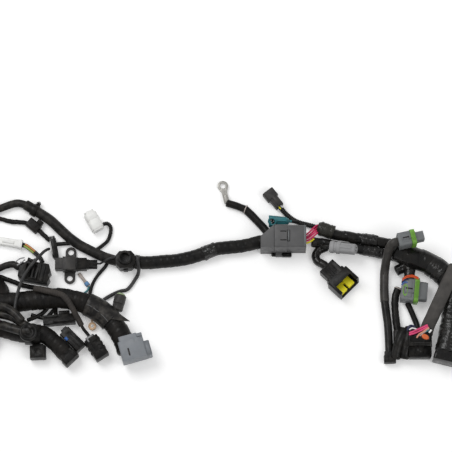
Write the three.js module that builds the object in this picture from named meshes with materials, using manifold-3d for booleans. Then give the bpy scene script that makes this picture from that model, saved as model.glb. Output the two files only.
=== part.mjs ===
// Vehicle wiring harness laid out on a flat surface.
// Millimetres, +Z up. The surface is z = 0 and the origin is below the middle of the layout.
// Cords are tubes along hand-laid routes; connectors are built along their own +X axis,
// from the cable entry to the mating end, and then set down where their cord ends.
import * as THREE from "three";
import { mergeVertices } from "three/addons/utils/BufferGeometryUtils.js";
import Module from "manifold-3d";

const wasm = await Module();
wasm.setup();

// Driving dimensions
const LEFT_END = -280;           // where the branches run out on the left
const GAP = 0.3;                 // clearance between neighbouring pieces
const MAIN_R = 12;               // left taped trunk
const LOWER_R = 9.5;             // lower left trunk
const MIDDLE_R = 7.8;            // trunk between the two halves
const RIGHT_R = 12.5;            // right taped trunk
const UPPER_BUNDLE_R = 6.4;      // two bundles that run side by side
const LOWER_BUNDLE_R = 5.8;
const SLEEVE_R = 6;              // smooth sleeve of the top branch
const TAIL_R = 4.5;
const SIDE_R = 2.6;
const CONDUIT_R = 5;
const THIN_R = 1.9;
const RIDER_R = 3.3;             // flat-lying branch on top of the left trunk
const STUB_R = 6;                // cut end of a spare branch
const RING_CABLE_R = 4.8;
const ARC_CABLE_R = 4.7;         // cable that rises over the right trunk
const EAR_THICK = 3;
const EAR_HOLE_R = 3.5;
const RING_HOLE_R = 3.3;
const PALM_X = 22.4;             // from the barrel's cable end to the middle of the palm
const PALM_R = 6.4;

const harness = new THREE.Group();

// Materials
function plastic(color, roughness = 0.55) {
  return new THREE.MeshStandardMaterial({ color, roughness, metalness: 0 });
}
const TAPE = plastic(0x1c1c1c, 0.5);
const GLOSS_TAPE = plastic(0x141414, 0.3);
const RUBBER = plastic(0x2b2b2b, 0.7);
const BROWN_SLEEVE = plastic(0x3a3430, 0.75);
const BLACK_PLASTIC = plastic(0x1e1e1e, 0.45);
const DARK_GREY = plastic(0x4a4a4c, 0.5);
const MID_GREY = plastic(0x7d8488, 0.5);
const LIGHT_GREY = plastic(0xa7a7a9, 0.5);
const BLUE_GREY = plastic(0x828a92, 0.5);
const WHITE = plastic(0xe6e7e4, 0.4);
const GREEN = plastic(0x6fae3c, 0.5);
const PALE_GREEN = plastic(0x9db887, 0.5);
const TEAL = plastic(0x2f7d86, 0.45);
const YELLOW = plastic(0xe3d51c, 0.45);
const RED = plastic(0xd3274f, 0.45);
const ORANGE = plastic(0xe0611f, 0.55);
const BLUE = plastic(0x3f6fae, 0.5);
const TIN = new THREE.MeshStandardMaterial({ color: 0xb9bab4, roughness: 0.35, metalness: 0.9 });

// Solid modelling helpers
function toSolid(geometry) {
  const bare = geometry.clone();
  bare.deleteAttribute("normal");
  bare.deleteAttribute("uv");
  const merged = mergeVertices(bare, 1e-4);
  return new wasm.Manifold(new wasm.Mesh({
    numProp: 3,
    vertProperties: new Float32Array(merged.attributes.position.array),
    triVerts: new Uint32Array(merged.index.array),
  }));
}

function toGeometry(solid) {
  const mesh = solid.getMesh();
  const geometry = new THREE.BufferGeometry();
  geometry.setAttribute("position", new THREE.BufferAttribute(mesh.vertProperties, 3));
  geometry.setIndex(new THREE.BufferAttribute(mesh.triVerts, 1));
  geometry.computeVertexNormals();
  return geometry;
}

function join(first, ...others) {
  return toGeometry(others.reduce((sum, other) => sum.add(toSolid(other)), toSolid(first)));
}

function cut(body, ...tools) {
  return toGeometry(tools.reduce((rest, tool) => rest.subtract(toSolid(tool)), toSolid(body)));
}

function radians(degrees) {
  return THREE.MathUtils.degToRad(degrees);
}

// Box given by its low and high corners
function box([x0, y0, z0], [x1, y1, z1]) {
  const geometry = new THREE.BoxGeometry(x1 - x0, y1 - y0, z1 - z0);
  return geometry.translate((x0 + x1) / 2, (y0 + y1) / 2, (z0 + z1) / 2);
}

// Round rod along +X from x0 to x1
function rod(radius, x0, x1, y = 0, z = 0, sides = 16) {
  const geometry = new THREE.CylinderGeometry(radius, radius, x1 - x0, sides);
  return geometry.rotateZ(-Math.PI / 2).translate((x0 + x1) / 2, y, z);
}

// Upright rod from z0 to z1
function post(radius, z0, z1, x = 0, y = 0, sides = 20) {
  const geometry = new THREE.CylinderGeometry(radius, radius, z1 - z0, sides);
  return geometry.rotateX(Math.PI / 2).translate(x, y, (z0 + z1) / 2);
}

// Turned piece along +X: the profile is [x, radius] pairs that start and end on the axis
function turned(profile, sides = 18) {
  const points = profile.map(([x, radius]) => new THREE.Vector2(radius, x));
  return new THREE.LatheGeometry(points, sides).rotateZ(-Math.PI / 2);
}

// Rounded rectangle in the YZ plane, drawn out along +X from x0 to x1
function roundedBar(width, height, corner, x0, x1, y = 0, z = 0, arcPoints = 2) {
  const w = width / 2 - corner;
  const h = height / 2 - corner;
  const shape = new THREE.Shape();
  shape.absarc(w, h, corner, 0, Math.PI / 2);
  shape.absarc(-w, h, corner, Math.PI / 2, Math.PI);
  shape.absarc(-w, -h, corner, Math.PI, 1.5 * Math.PI);
  shape.absarc(w, -h, corner, 1.5 * Math.PI, 2 * Math.PI);
  shape.closePath();
  const settings = { depth: x1 - x0, bevelEnabled: false, curveSegments: arcPoints };
  const geometry = new THREE.ExtrudeGeometry(shape, settings);
  return geometry.rotateX(Math.PI / 2).rotateZ(Math.PI / 2).translate(x0, y, z);
}

// Flat outline drawn up from z0 by its thickness
function plate(outline, z0, thickness) {
  const settings = { depth: thickness, bevelEnabled: false, curveSegments: 10 };
  return new THREE.ExtrudeGeometry(outline, settings).translate(0, 0, z0);
}

function polygon(points) {
  return new THREE.Shape(points.map(([x, y]) => new THREE.Vector2(x, y)));
}

// A smooth line through the route's points
function lineThrough(points) {
  const vectors = points.map((point) => new THREE.Vector3(...point));
  return new THREE.CatmullRomCurve3(vectors, false, "centripetal");
}

function circle(radius, sides) {
  const points = Array.from({ length: sides }, (_, i) => {
    const angle = (2 * Math.PI * (i + 0.5)) / sides;
    return [radius * Math.cos(angle), radius * Math.sin(angle)];
  });
  return polygon(points);
}

// Tube along a route, with a step about every two diameters or finer
function tube(points, radius, sides = 12, stepDiameters = 1.8) {
  const path = lineThrough(points);
  const wanted = Math.ceil(path.getLength() / (2 * radius * stepDiameters));
  const steps = Math.min(48, Math.max(points.length - 1, wanted));
  const settings = { steps, extrudePath: path, bevelEnabled: false };
  return new THREE.ExtrudeGeometry(circle(radius, sides), settings);
}

// The same tube a clearance larger all round, to cut neighbours back with
function cutter(route, radius, sides = 12, stepDiameters = 1.8) {
  const path = lineThrough(route);
  const wanted = Math.ceil(path.getLength() / (2 * radius * stepDiameters));
  const steps = Math.min(48, Math.max(route.length - 1, wanted));
  const settings = { steps, extrudePath: path, bevelEnabled: false };
  return new THREE.ExtrudeGeometry(circle(radius + GAP * 1.2, sides), settings);
}

function add(name, geometry, material, parent = harness) {
  const mesh = new THREE.Mesh(geometry, material);
  mesh.name = name;
  parent.add(mesh);
}

// A connector's place: the middle of its cable entry, its heading from +X and its nose-up pitch
function place(x, y, z, heading, pitch = 0, roll = 0) {
  const group = new THREE.Group();
  group.position.set(x, y, z);
  const turn = new THREE.Euler(radians(roll), -radians(pitch), radians(heading), "ZYX");
  group.setRotationFromEuler(turn);
  harness.add(group);
  group.updateMatrix();
  return group;
}

// World point at a distance along a connector's axis, and off it to its side and up
function ahead(group, distance, side = 0, up = 0) {
  return new THREE.Vector3(distance, side, up).applyMatrix4(group.matrix).toArray();
}

// World-frame copy of a piece that is built in a connector's frame
function inWorld(group, geometry) {
  return geometry.clone().applyMatrix4(group.matrix);
}

// World-frame tool brought into a connector's frame
function inPlace(group, geometry) {
  return geometry.clone().applyMatrix4(group.matrix.clone().invert());
}

// Cord routes, [x, y, z of the centre line]
const MAIN_ROUTE = [
  [LEFT_END, -46.4, 12], [-270, -46.4, 12], [-255, -45.8, 12], [-235, -43.4, 12], [-213.6, -41, 12],
  [-193, -40.3, 12], [-175, -44, 12], [-157, -51, 12], [-141.6, -62, 12], [-129.6, -76, 12], [-121.2, -91, 12],
  [-117, -104, 12],
];
const LOWER_ROUTE = [
  [LEFT_END, -75, 9.6], [-273, -75.3, 9.6], [-260, -78.4, 9.5], [-244.8, -82.6, 9.5], [-228, -83.3, 9.5],
  [-214.8, -84, 9.5], [-201.6, -94, 9.5], [-188.4, -107.4, 9.6],
];
const MIDDLE_ROUTE = [
  [-124, 5.2, 7.9], [-107, 5.2, 7.9], [-91, 4.7, 7.9], [-73, 6.2, 7.9], [-55, 8.1, 7.9],
  [-43, 10.8, 7.9], [-30, 14.9, 7.9], [-13, 21.2, 7.9], [2.4, 23.4, 7.9], [17, 24.8, 7.9],
  [29, 27.3, 7.9], [38.6, 29.8, 7.9], [44.4, 30.5, 7.9],
];
const SLEEVE_ROUTE = [
  [-240, 76.9, 6.1], [-228, 69.5, 6.1], [-211, 58.2, 6.1], [-199, 47, 6.1], [-188.4, 37, 6.1],
  [-175, 27, 6.1], [-153.6, 15.8, 6.1], [-139, 9.5, 6.1], [-129, 7, 6.1],
];
const UPPER_BUNDLE_ROUTE = [
  [128, 40.7, 6.5], [137, 38.7, 6.5], [149, 36.5, 6.5], [173, 32.5, 6.5], [191, 29, 6.5],
  [203, 25.5, 6.5],
];
const LOWER_BUNDLE_ROUTE = [
  [103.5, 30.5, 5.9], [115, 29.4, 5.9], [131, 26.3, 5.9], [149, 23.4, 5.9], [173, 19.4, 5.9],
  [191, 16, 5.9], [203, 12.6, 5.9],
];
const RIGHT_ROUTE = [
  [203.8, 18.8, 12.6], [223, 9.5, 12.6], [244, 1, 12.6], [260.6, -13.6, 12.6],
  [268, -36, 12.6], [268.6, -58.5, 12.6], [265.6, -81, 12.6], [259.4, -106, 12.6],
];
const TAIL_ROUTE = [
  [LEFT_END - 2, 71.4, 4.7], [-275, 71.8, 4.7], [-268, 74, 4.6], [-259, 77.5, 4.6], [-250, 79.4, 4.8],
  [-239, 76.4, 6],
];
const STUB_ROUTE = [[219, 5, 9], [209.6, -1.6, 6.6], [203.6, -4.8, 6.2]];
const CONDUIT_ROUTE = [
  [LEFT_END, -61.4, 20.8], [-268, -61.8, 21], [-256, -64.4, 21.6], [-246, -69.4, 22.6],
  [-237, -75.5, 25.4], [-229, -80.4, 27],
];
const SECOND_CONDUIT_ROUTE = [
  [LEFT_END, -74, 24.5], [-266, -76, 24.5], [-252, -80, 24.9], [-241, -83, 26.6], [-231, -83.4, 27.2],
];

const mainCutter = cutter(MAIN_ROUTE, MAIN_R);
const lowerCutter = cutter(LOWER_ROUTE, LOWER_R);
const middleCutter = cutter(MIDDLE_ROUTE, MIDDLE_R);
const sleeveCutter = cutter(SLEEVE_ROUTE, SLEEVE_R);
const rightCutter = cutter(RIGHT_ROUTE, RIGHT_R);
const lowerBundleCutter = cutter(LOWER_BUNDLE_ROUTE, LOWER_BUNDLE_R);
const upperBundleCutter = cutter(UPPER_BUNDLE_ROUTE, UPPER_BUNDLE_R);

// Plain sealed end of a branch: a stepped moulded plug with a ribbed rear collar
function plainPlug(group, length, width, height) {
  const collar = roundedBar(width - 2, height - 2, 2, GAP, 5);
  const body = roundedBar(width, height, 2.5, 5, length);
  const ribs = [0, 1].map((i) => {
    const y = (i - 0.5) * width * 0.5;
    return box([6, y - 1, height / 2 - 0.5], [length - 1.5, y + 1, height / 2 + 0.8]);
  });
  return inWorld(group, join(collar, body, ...ribs));
}

// Trunks and taped bundles
function trunks() {
  add("main_trunk", tube(MAIN_ROUTE, MAIN_R), TAPE);
  const endPlug = plainPlug(lowerEnd, 13, 20, 18.6);
  const sideBlock = plate(polygon([[LEFT_END, -78], [-269, -80], [-268, -91], [-275, -97], [-273, -107], [LEFT_END, -107]]), 0.4, 12);
  add("lower_trunk", join(tube(LOWER_ROUTE, LOWER_R), endPlug, sideBlock), TAPE);
  add("middle_trunk", tube(MIDDLE_ROUTE, MIDDLE_R), TAPE);
  const stub = tube(STUB_ROUTE, STUB_R);
  const rightPlug = plainPlug(rightEnd, 14, 27, 25.4);
  add("right_trunk", join(tube(RIGHT_ROUTE, RIGHT_R), stub, rightPlug), GLOSS_TAPE);
  add("upper_bundle", cut(tube(UPPER_BUNDLE_ROUTE, UPPER_BUNDLE_R), rightCutter), GLOSS_TAPE);
  add("lower_bundle", cut(tube(LOWER_BUNDLE_ROUTE, LOWER_BUNDLE_R), rightCutter), GLOSS_TAPE);
  const branch = join(tube(SLEEVE_ROUTE, SLEEVE_R), tube(TAIL_ROUTE, TAIL_R));
  add("top_branch", join(cut(branch, middleCutter), plainPlug(topPlug, 20, 22, 12.4)), RUBBER);
  const conduits = join(tube(CONDUIT_ROUTE, CONDUIT_R), tube(SECOND_CONDUIT_ROUTE, CONDUIT_R));
  const bossSpace = inWorld(trunkClipPlace, post(CLIP_BOSS_R + GAP, -30, 40, CLIP_BOSS_X, CLIP_BOSS_Y, 20));
  add("left_conduit", cut(conduits, bossSpace), DARK_GREY);
}

const CLIP_BOSS_R = 6.5;
const CLIP_BOSS_X = 1;
const CLIP_BOSS_Y = 2;
const trunkClipPlace = place(-228, -83.3, 9.5, -2);
const topPlug = place(LEFT_END - 0.5, 66.5, 7, 180);
const midPlug = place(LEFT_END - 0.5, -9.5, 6, 180);
const mainPlug = place(LEFT_END - 0.5, -60, 14, 180);
const arcEnd = place(193, -103.3, 5.4, -88);
const rightEnd = place(259.7, -105, 13, -104);
const lowerEnd = place(-189.6, -106.4, 9.7, -46);
trunks();
add("main_left_plug", plainPlug(mainPlug, 24, 52, 26.4), BLACK_PLASTIC);

// Push-in tree clip on the sleeve: a saddle with a barbed stem that points away from it
function treeClip() {
  const group = place(-229.5, 70, 6.1, 60);
  const band = rod(SLEEVE_R + 1.6, -3.5, 3.5);
  band.rotateZ(Math.PI / 2);
  const stem = rod(2.2, SLEEVE_R, 11);
  const barbs = [7.8, 9.6].map((x) => turned([[x, 0], [x, 3.4], [x + 1.4, 1.8], [x + 1.4, 0]], 12));
  const under = box([-9, -9, -9], [12, 9, -5.9]);
  const solid = cut(join(band, stem, ...barbs), under, inPlace(group, sleeveCutter));
  add("tree_clip", solid, BLACK_PLASTIC, group);
}
treeClip();

// Side branch with its clamp, tee clip and link back to the sleeve
const SIDE_ROUTE = [
  [LEFT_END - 0.4, 61.5, 3.4], [-271, 60.5, 2.8], [-258, 57, 2.8], [-238.8, 55, 3.2], [-228, 48.9, 3.6],
  [-218.4, 40.2, 3.8], [-211, 33.4, 4.2],
];
const sideCutter = cutter(SIDE_ROUTE, SIDE_R);

function sideBranch() {
  const group = place(-230.6, 51.2, 5, -40);
  const body = roundedBar(12, 9.8, 2, -8, 8);
  const lug = box([0, 5, -3.5], [7, 10.5, 2.5]);
  const rib = box([-5, -2, 4], [4, 2, 6]);
  const clamp = inWorld(group, join(body, lug, rib));
  add("side_branch", join(tube(SIDE_ROUTE, SIDE_R, 10), clamp), TAPE);
}
sideBranch();

function teeClip() {
  const group = place(-207.6, 34.4, 5, -79);
  const outline = polygon([[0, -3.8], [21, -3.8], [24.4, -2], [25, 2.6], [22, 4], [0, 4]]);
  const body = plate(outline, -4.9, 9.6);
  const prongs = [-2.2, 2.2].map((y) => box([-2.4, y - 1, 1], [0.5, y + 1, 4]));
  const spine = box([3, -0.8, 4.5], [22, 0.8, 5.4]);
  const branchSpace = inPlace(group, sideCutter);
  const link = inPlace(group, cut(tube(LINK_ROUTE, 2.5, 10), sleeveCutter));
  add("tee_clip", join(cut(join(body, ...prongs, spine), branchSpace), link), BLACK_PLASTIC, group);
}
const LINK_ROUTE = [[-205, 28.6, 3], [-197, 29.2, 3], [-185, 30, 3.2]];
teeClip();

// White capsule plug and its looped lead
const capsule = place(-152.3, 45.1, 6.2, 118.7);
const LEAD_PORT = 4;
function capsulePlug() {
  const shell = roundedBar(16, 12, 4.5, 2, 23, 0, 0, 3);
  const crown = roundedBar(12.5, 9, 4, 22, 26.5, 0, 0, 3);
  const rear = roundedBar(14, 10.4, 3.5, 0, 2.4, 0, 0, 2);
  const socket = rod(2.9, 0, 6, 0, 0, 12).rotateZ(-Math.PI / 2).translate(LEAD_PORT, -5, 0);
  const seam = cut(roundedBar(17.5, 13.5, 4.5, 14, 14.7), roundedBar(15.4, 11.4, 4, 13, 16));
  add("capsule_plug", cut(join(shell, crown, rear), socket, seam), WHITE, capsule);
}
capsulePlug();
const LOOP_ROUTE = [
  ahead(capsule, LEAD_PORT, -5.4), ahead(capsule, LEAD_PORT, -9.4), [-142, 54, 4.6],
  [-138.6, 51, 2.8], [-138.2, 44, 2.4], [-141.6, 33.4, 2.4], [-147.6, 27.6, 2.4],
  [-153.2, 23.2, 2.6], [-157, 20, 4],
];
add("loop_lead", cut(tube(LOOP_ROUTE, 2.3, 8), sleeveCutter), TAPE);

// White flat plug at the left with its bare leads
const flatPlug = place(-243.5, 27.6, 4.6, 170.5);
function whiteFlatPlug() {
  const body = roundedBar(9.6, 8.4, 1.6, 2.5, 40);
  const collar = roundedBar(10.8, 9, 1.4, 0, 4);
  const latch = box([10, -1.6, 3.8], [24, 1.6, 5.3]);
  const end = roundedBar(7, 5.6, 1, 34, 41);
  const pocket = roundedBar(8, 6, 1, -1, 3);
  add("white_flat_plug", cut(join(body, collar, latch, end), pocket), WHITE, flatPlug);
}
whiteFlatPlug();

// Block connector: ribbed housing with a stepped latch side and a rear clamp
const block = place(-245.6, -5.6, 10.4, -10);
function blockConnector() {
  const width = 23;
  const height = 20;
  const outline = polygon([
    [0, -9], [4, -width / 2], [36, -width / 2], [38, -5], [35.5, -2], [37.8, 3], [34, width / 2],
    [8, width / 2], [5, 8.5], [0, 8.5],
  ]);
  const body = plate(outline, -height / 2, height);
  const ribs = [24, 29].map((x) => box([x, -10, height / 2 - 1], [x + 2, 9.6, height / 2 + 1.2]));
  const slots = [8, 13, 18].map((x) => box([x, -8, height / 2 - 5], [x + 2.6, 7.4, height / 2 + 3]));
  const arms = [8, 15].map((x) => box([x, 10, -3], [x + 3, 15.4, 9]));
  const bridge = box([8, 10.6, 5], [18, 13.8, 11]);
  const solid = cut(join(body, ...ribs), ...slots);
  add("block_connector", join(solid, ...arms, bridge), BLACK_PLASTIC, block);
}
blockConnector();

const FLAT_LEAD_ROUTE = [
  ahead(flatPlug, 1.6), ahead(flatPlug, -3), [-235.4, 23.6, 5.4], [-229, 18, 6.6],
  [-221.6, 10.6, 8.4], [-218, 3.4, 9.7],
];
function flatLeads() {
  const strands = [-1.3, 1.3].map((side) => tube(
    FLAT_LEAD_ROUTE.map(([x, y, z]) => [x + side * 0.6, y + side * 0.8, z]), 1.6, 8, 2));
  const stop = inWorld(block, box([0, -12, -11], [39, 11.5 + GAP, 11]));
  add("flat_leads", cut(join(...strands), stop), TAPE);
}
flatLeads();

const LEFT_CABLE_ROUTE = [
  [LEFT_END - 2, -3.8, 4.3], [-275, -3.2, 4.3], [-269, -0.8, 4.3], [-262, 2.2, 4.4], [-253, 3.4, 5],
  ahead(block, -3, 5, -4), ahead(block, -GAP, 5, -4),
];
add("left_cable", join(tube(LEFT_CABLE_ROUTE, 4, 10), plainPlug(midPlug, 18, 20, 10.4)), RUBBER);
const LEFT_BRANCH_ROUTE = [
  [LEFT_END - 0.4, -12.2, 3.2], [-271, -11.6, 3], [-257, -16.2, 3], [-242, -21.9, 3], [-228, -25, 3],
  [-214, -27.2, 3], [-203, -29.6, 3.4],
];
const leftBlock = plate(polygon([[LEFT_END, -12], [-268, -13], [-258, -27], [-256, -40], [LEFT_END, -40]]), 0.4, 13);
add("left_branch", cut(join(tube(LEFT_BRANCH_ROUTE, 2.8, 10), leftBlock), mainCutter), TAPE);

// Thin cable that climbs over the block connector and the left trunk
const THIN_ROUTE = [
  [-211.6, 22.4, 5], [-213.6, 19.4, 12], [-217, 14, 21], [-222, 7.4, 24.6], [-231.2, -3.6, 25],
  [-239.2, -16.5, 24.6], [-244.4, -30.8, 25], [-247, -42.2, 25.8], [-248.4, -51, 26.2],
  [-248.8, -56.4, 26.4],
];
add("thin_cable", cut(tube(THIN_ROUTE, THIN_R, 8, 2), cutter(CONDUIT_ROUTE, CONDUIT_R)), DARK_GREY);

// Inline sensor: case with two bolt ears, cover and two-bore nose
const sensor = place(-203.4, 2.6, 7.2, 0);
function sensorModule() {
  const rearCase = roundedBar(14, 13.4, 1, 0, 9.4);
  const middle = roundedBar(16.6, 14, 1.2, 9, 25 - GAP);
  const ears = [1, -1].map((side) => {
    const x = side > 0 ? 18.2 : 17.2;
    const reach = 16;
    const ear = new THREE.Shape();
    ear.moveTo(x - 6.5, 0);
    ear.lineTo(x - 6.5, reach);
    ear.absarc(x, reach, 6.5, Math.PI, 0, true);
    ear.lineTo(x + 6.5, 0);
    ear.closePath();
    const hole = new THREE.Path();
    hole.absarc(x, reach, EAR_HOLE_R, 0, 2 * Math.PI);
    ear.holes.push(hole);
    const blade = plate(ear, -7, EAR_THICK);
    return side > 0 ? blade : blade.rotateX(Math.PI).translate(0, 0, -14 + EAR_THICK);
  });
  const webs = [1, -1].flatMap((side) => [12.6, 21].map((x) => {
    const y = side * 9.4;
    return box([x, Math.min(y, side * 6), -6], [x + 1.4, Math.max(y, side * 6), 1]);
  }));
  add("sensor_case", join(rearCase, middle, ...ears, ...webs), DARK_GREY, sensor);
  const cover = roundedBar(14.2, 11.4, 1, 25, 37.6);
  const lip = roundedBar(15, 12, 1, 25, 27.4);
  const lobes = [-2.3, 2.3].map((y) => rod(3.4, 37, 50, y, 0, 14));
  const collar = roundedBar(11.4, 8.6, 2, 37, 40);
  add("sensor_cover", join(cover, lip, ...lobes, collar), BLACK_PLASTIC, sensor);
}
sensorModule();

const SENSOR_LEAD_ROUTE = [
  ahead(sensor, 50 + GAP, 1), ahead(sensor, 53, 1), [-147.2, 4.6, 9.6], [-143, 6.2, 13.8],
  [-137.4, 8.4, 15.2], [-131.9, 9.2, 15],
];
add("sensor_lead", tube(SENSOR_LEAD_ROUTE, 1.2, 8, 2), DARK_GREY);

// Small crimp terminal in a clear boot on a teal lead
const bootPlace = place(-167.6, -17.6, 2.4, 127);
const boot = join(rod(2, -1, 13, 0, 0, 12), rod(2.3, 9, 11, 0, 0, 12), roundedBar(4.6, 4.6, 0.8, -5.4, 0));

const TEAL_ROUTE = [
  ahead(bootPlace, -2), ahead(bootPlace, -7.4), [-163.8, -26, 2], [-166.4, -29.6, 2.2],
  [-171, -33, 3.6],
];
const tealLead = cut(tube(TEAL_ROUTE, 1.1, 8, 2), mainCutter);
add("crimp_terminal", join(boot, inPlace(bootPlace, tealLead)), BLUE, bootPlace);

// Tie mount over the meeting of the top branch and the middle trunk, with a round recess on top
const TIE_TOP = 22.5;
function tieMount() {
  const group = place(-119.6, 6, 0, 2);
  const outline = polygon([
    [-11.6, -5], [-7, -10.4], [7, -10.4], [11.6, -5], [11.6, 5], [7, 10.4], [-7, 10.4],
    [-11.6, 5],
  ]);
  const body = plate(outline, 2.5, TIE_TOP - 4 - 2.5);
  const boss = post(8.4, 12, TIE_TOP, -0.4, 1.6, 24);
  const strap = box([-2.6, -12, 4], [2.6, 12, 12]);
  const recess = post(5.6, TIE_TOP - 5.6, TIE_TOP + 2, -0.4, 1.6, 24);
  const tools = [middleCutter, sleeveCutter].map((tool) => inPlace(group, tool));
  add("tie_mount", cut(join(body, boss, strap), recess, ...tools), BLACK_PLASTIC, group);
}
tieMount();

const DROP_ROUTE = [
  [-140.6, 7, 3], [-144.6, 0.6, 2], [-149, -4.6, 2], [-154, -11, 2], [-158, -18, 2],
  [-160.6, -26, 2.2], [-162, -34, 4], [-162.6, -38, 6],
];
const dropTube = tube(DROP_ROUTE, 2.1, 8, 2);
add("drop_branch", cut(dropTube, sleeveCutter, mainCutter), TAPE);

const ARC_ROUTE = [
  [-105.6, 9.4, 18.6], [-104.8, 5, 18.8], [-104.2, 0, 17.2], [-103.8, -4.2, 12.8],
  [-104.1, -6.8, 7.4], [-105.4, -9.8, 3], [-108.6, -15, 2.2], [-112.6, -21.4, 2.2], [-118, -27.2, 2.2],
  [-125.4, -29, 2.2], [-134, -32.6, 2.2], [-142.6, -37.6, 2.2], [-149, -42.6, 3],
  [-153, -46, 5],
];
add("arc_cable", cut(tube(ARC_ROUTE, 2.2, 8, 2), mainCutter), DARK_GREY);

// Round plug that leans out from behind the left trunk
const roundPlug = place(-128.2, -49, 7.4, 76);
function roundPlugPieces() {
  const shell = turned([[2, 0], [2, 5.6], [3.6, 7.1], [13, 7.1], [13.8, 6.4], [13.8, 0]], 20);
  const lead = cut(tube(ROUND_LEAD_ROUTE, 3, 10), mainCutter, cutter(SPLIT_ROUTE, MAIN_R + 2, 16, 0.2));
  add("round_plug_shell", join(shell, inPlace(roundPlug, lead)), BLACK_PLASTIC, roundPlug);
  const cap = turned([[13.8 + GAP, 0], [13.8 + GAP, 5.4], [15.4, 5.2], [16.4, 3.4], [16.4, 0]], 16);
  add("round_plug_seal", cap, PALE_GREEN, roundPlug);
}
const ROUND_LEAD_ROUTE = [ahead(roundPlug, 4), ahead(roundPlug, -2), [-131.6, -58, 7.6]];

// Split sleeve round the left trunk with a pointed flap
const SPLIT_ROUTE = [
  [-164, -47.8, 12], [-157, -51, 12], [-149, -56, 12], [-141.6, -62, 12], [-135.6, -68.4, 12],
];
roundPlugPieces();
function splitSleeve() {
  const outer = tube(SPLIT_ROUTE, MAIN_R + 2, 16, 0.2);
  const under = box([-180, -90, -5], [-110, -30, 9]);
  const flap = plate(polygon([[-136, -58], [-128, -60], [-113, -71], [-126, -70], [-137, -68]]), 22.4, 2);
  const inner = tube(MAIN_ROUTE, MAIN_R + 0.5);
  add("split_sleeve", cut(join(outer, flap), under, inner), DARK_GREY);
}
splitSleeve();

// Branch that rides on the left trunk and drops into the lower connector
const lowerPlug = place(-161.4, -86.4, 9, -57);
const RIDER_ROUTE = [
  [-226, -31.4, 25.4], [-216, -34, 27.4], [-204, -37, 27.6], [-192, -41, 27.6],
  [-185.4, -48.4, 27.2], [-180, -57.4, 23], [-175.4, -65, 16], [-171, -72.6, 11],
];
const RIDER_LEAD_ROUTE = [
  [-172.4, -70.4, 12], [-168, -77.6, 9.6], ahead(lowerPlug, -4), ahead(lowerPlug, -GAP),
];
add("rider_branch", join(tube(RIDER_ROUTE, RIDER_R, 10), tube(RIDER_LEAD_ROUTE, 1.8, 10)), BROWN_SLEEVE);

function lowerConnector() {
  const body = roundedBar(17, 16, 1.6, 3, 30);
  const rear = roundedBar(11, 10, 1.5, 0, 4);
  const keys = [6, 12, 18].map((x) => box([x, -9.6, -4], [x + 3, 9.6, 3]));
  const holes = [10.4, 15.4, 20.4].map((x) => box([x, 2, 7], [x + 2.4, 5, 10]));
  const lock = [box([3.2, -3.6, 7], [9, 5.6, 9.8]), box([8, -3.6, 7], [20, -1.6, 9.4])];
  const solid = cut(join(body, rear, ...keys, ...lock), ...holes);
  add("lower_connector", solid, BLACK_PLASTIC, lowerPlug);
}
lowerConnector();

// Orange ring seal on the end of a spare wire
const SPARE_ROUTE = [[-158.4, -70.2, 2.2], [-159, -65, 2.4], [-161, -60, 3.6], [-163, -55, 5]];
function ringSeal() {
  const group = place(-158.4, -72.2, 2.4, 90);
  const ring = post(4.6, -2.2, 2, 0, 0, 20);
  const cup = post(2.2, 0.6, 3, 0, 0, 12);
  const wire = inPlace(group, cut(tube(SPARE_ROUTE, 1.1, 8, 2), mainCutter));
  add("ring_seal", join(cut(ring, cup), wire), ORANGE, group);
}
ringSeal();

// Grey connector at the end of the left trunk
const greyPlug = place(-114.4, -88, 18, -74);
function greyConnector() {
  const body = roundedBar(30, 22, 2, 6, 30);
  const hood = roundedBar(22, 20, 2, 0, 7, -2);
  const tab = box([1, 8, 4], [5, 15, 9]);
  const slit = box([16, -6, 9.6], [25, -4.2, 12]);
  const step = box([6, 4, 10], [11, 15.4, 12]);
  const trunkSpace = inPlace(greyPlug, mainCutter);
  add("grey_connector", cut(join(body, hood, tab), slit, step, trunkSpace), BLUE_GREY, greyPlug);
}
greyConnector();

// Clip on the lower trunk with a round boss
function trunkClip() {
  const band = rod(LOWER_R + 2.4, -9, 9, 0, 0, 16);
  const foot = box([-9, -11, -9.4], [9, 11, -2]);
  const boss = post(CLIP_BOSS_R, 6, 20, CLIP_BOSS_X, CLIP_BOSS_Y, 20);
  const dimple = post(3.4, 17.4, 22, CLIP_BOSS_X, CLIP_BOSS_Y, 16);
  const under = box([-12, -16, -20], [12, 16, -9.4]);
  const solid = cut(join(band, foot, boss), dimple, under, inPlace(trunkClipPlace, lowerCutter));
  add("trunk_clip", solid, BLACK_PLASTIC, trunkClipPlace);
}
trunkClip();

const BRACKET_CORD_ROUTES = [
  [[-212, -64, 6], [-222, -61.5, 5], [-231, -58.5, 4.4]],
  [[-212, -62, 6], [-208, -57, 5], [-202, -50, 4.6]],
];
function longBracket() {
  const group = place(-216.5, -65.6, 7, 5);
  const body = roundedBar(11.6, 13.4, 1, 0, 38, -1.6);
  const rails = [0, 1].map((i) => box([12 - 11 * i, -5.6 + 6.4 * i, 6], [36 - 18 * i, -4.2 + 6.4 * i, 8.6]));
  const hump = roundedBar(7, 12, 2, 19, 32, 5);
  const cords = BRACKET_CORD_ROUTES.map((route) => inPlace(group, cut(tube(route, 2.4, 8), mainCutter)));
  add("long_bracket", join(body, ...rails, hump, ...cords), BLACK_PLASTIC, group);
}
longBracket();

const longPlug = place(-192.4, -76.4, 7, -45);
function longConnector() {
  const body = roundedBar(14, 13, 1.4, 3, 32, -1.5);
  const rear = roundedBar(8, 9, 1, 0, 4);
  const ribs = [-7.6, -3, 1.6].map((y) => box([12, y, 6], [30, y + 1.4, 7.8]));
  const seat = box([8, -1.8, 5.6], [14, 1.8, 9]);
  add("long_connector", cut(join(body, rear, ...ribs), seat), BLACK_PLASTIC, longPlug);
}
longConnector();

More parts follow.
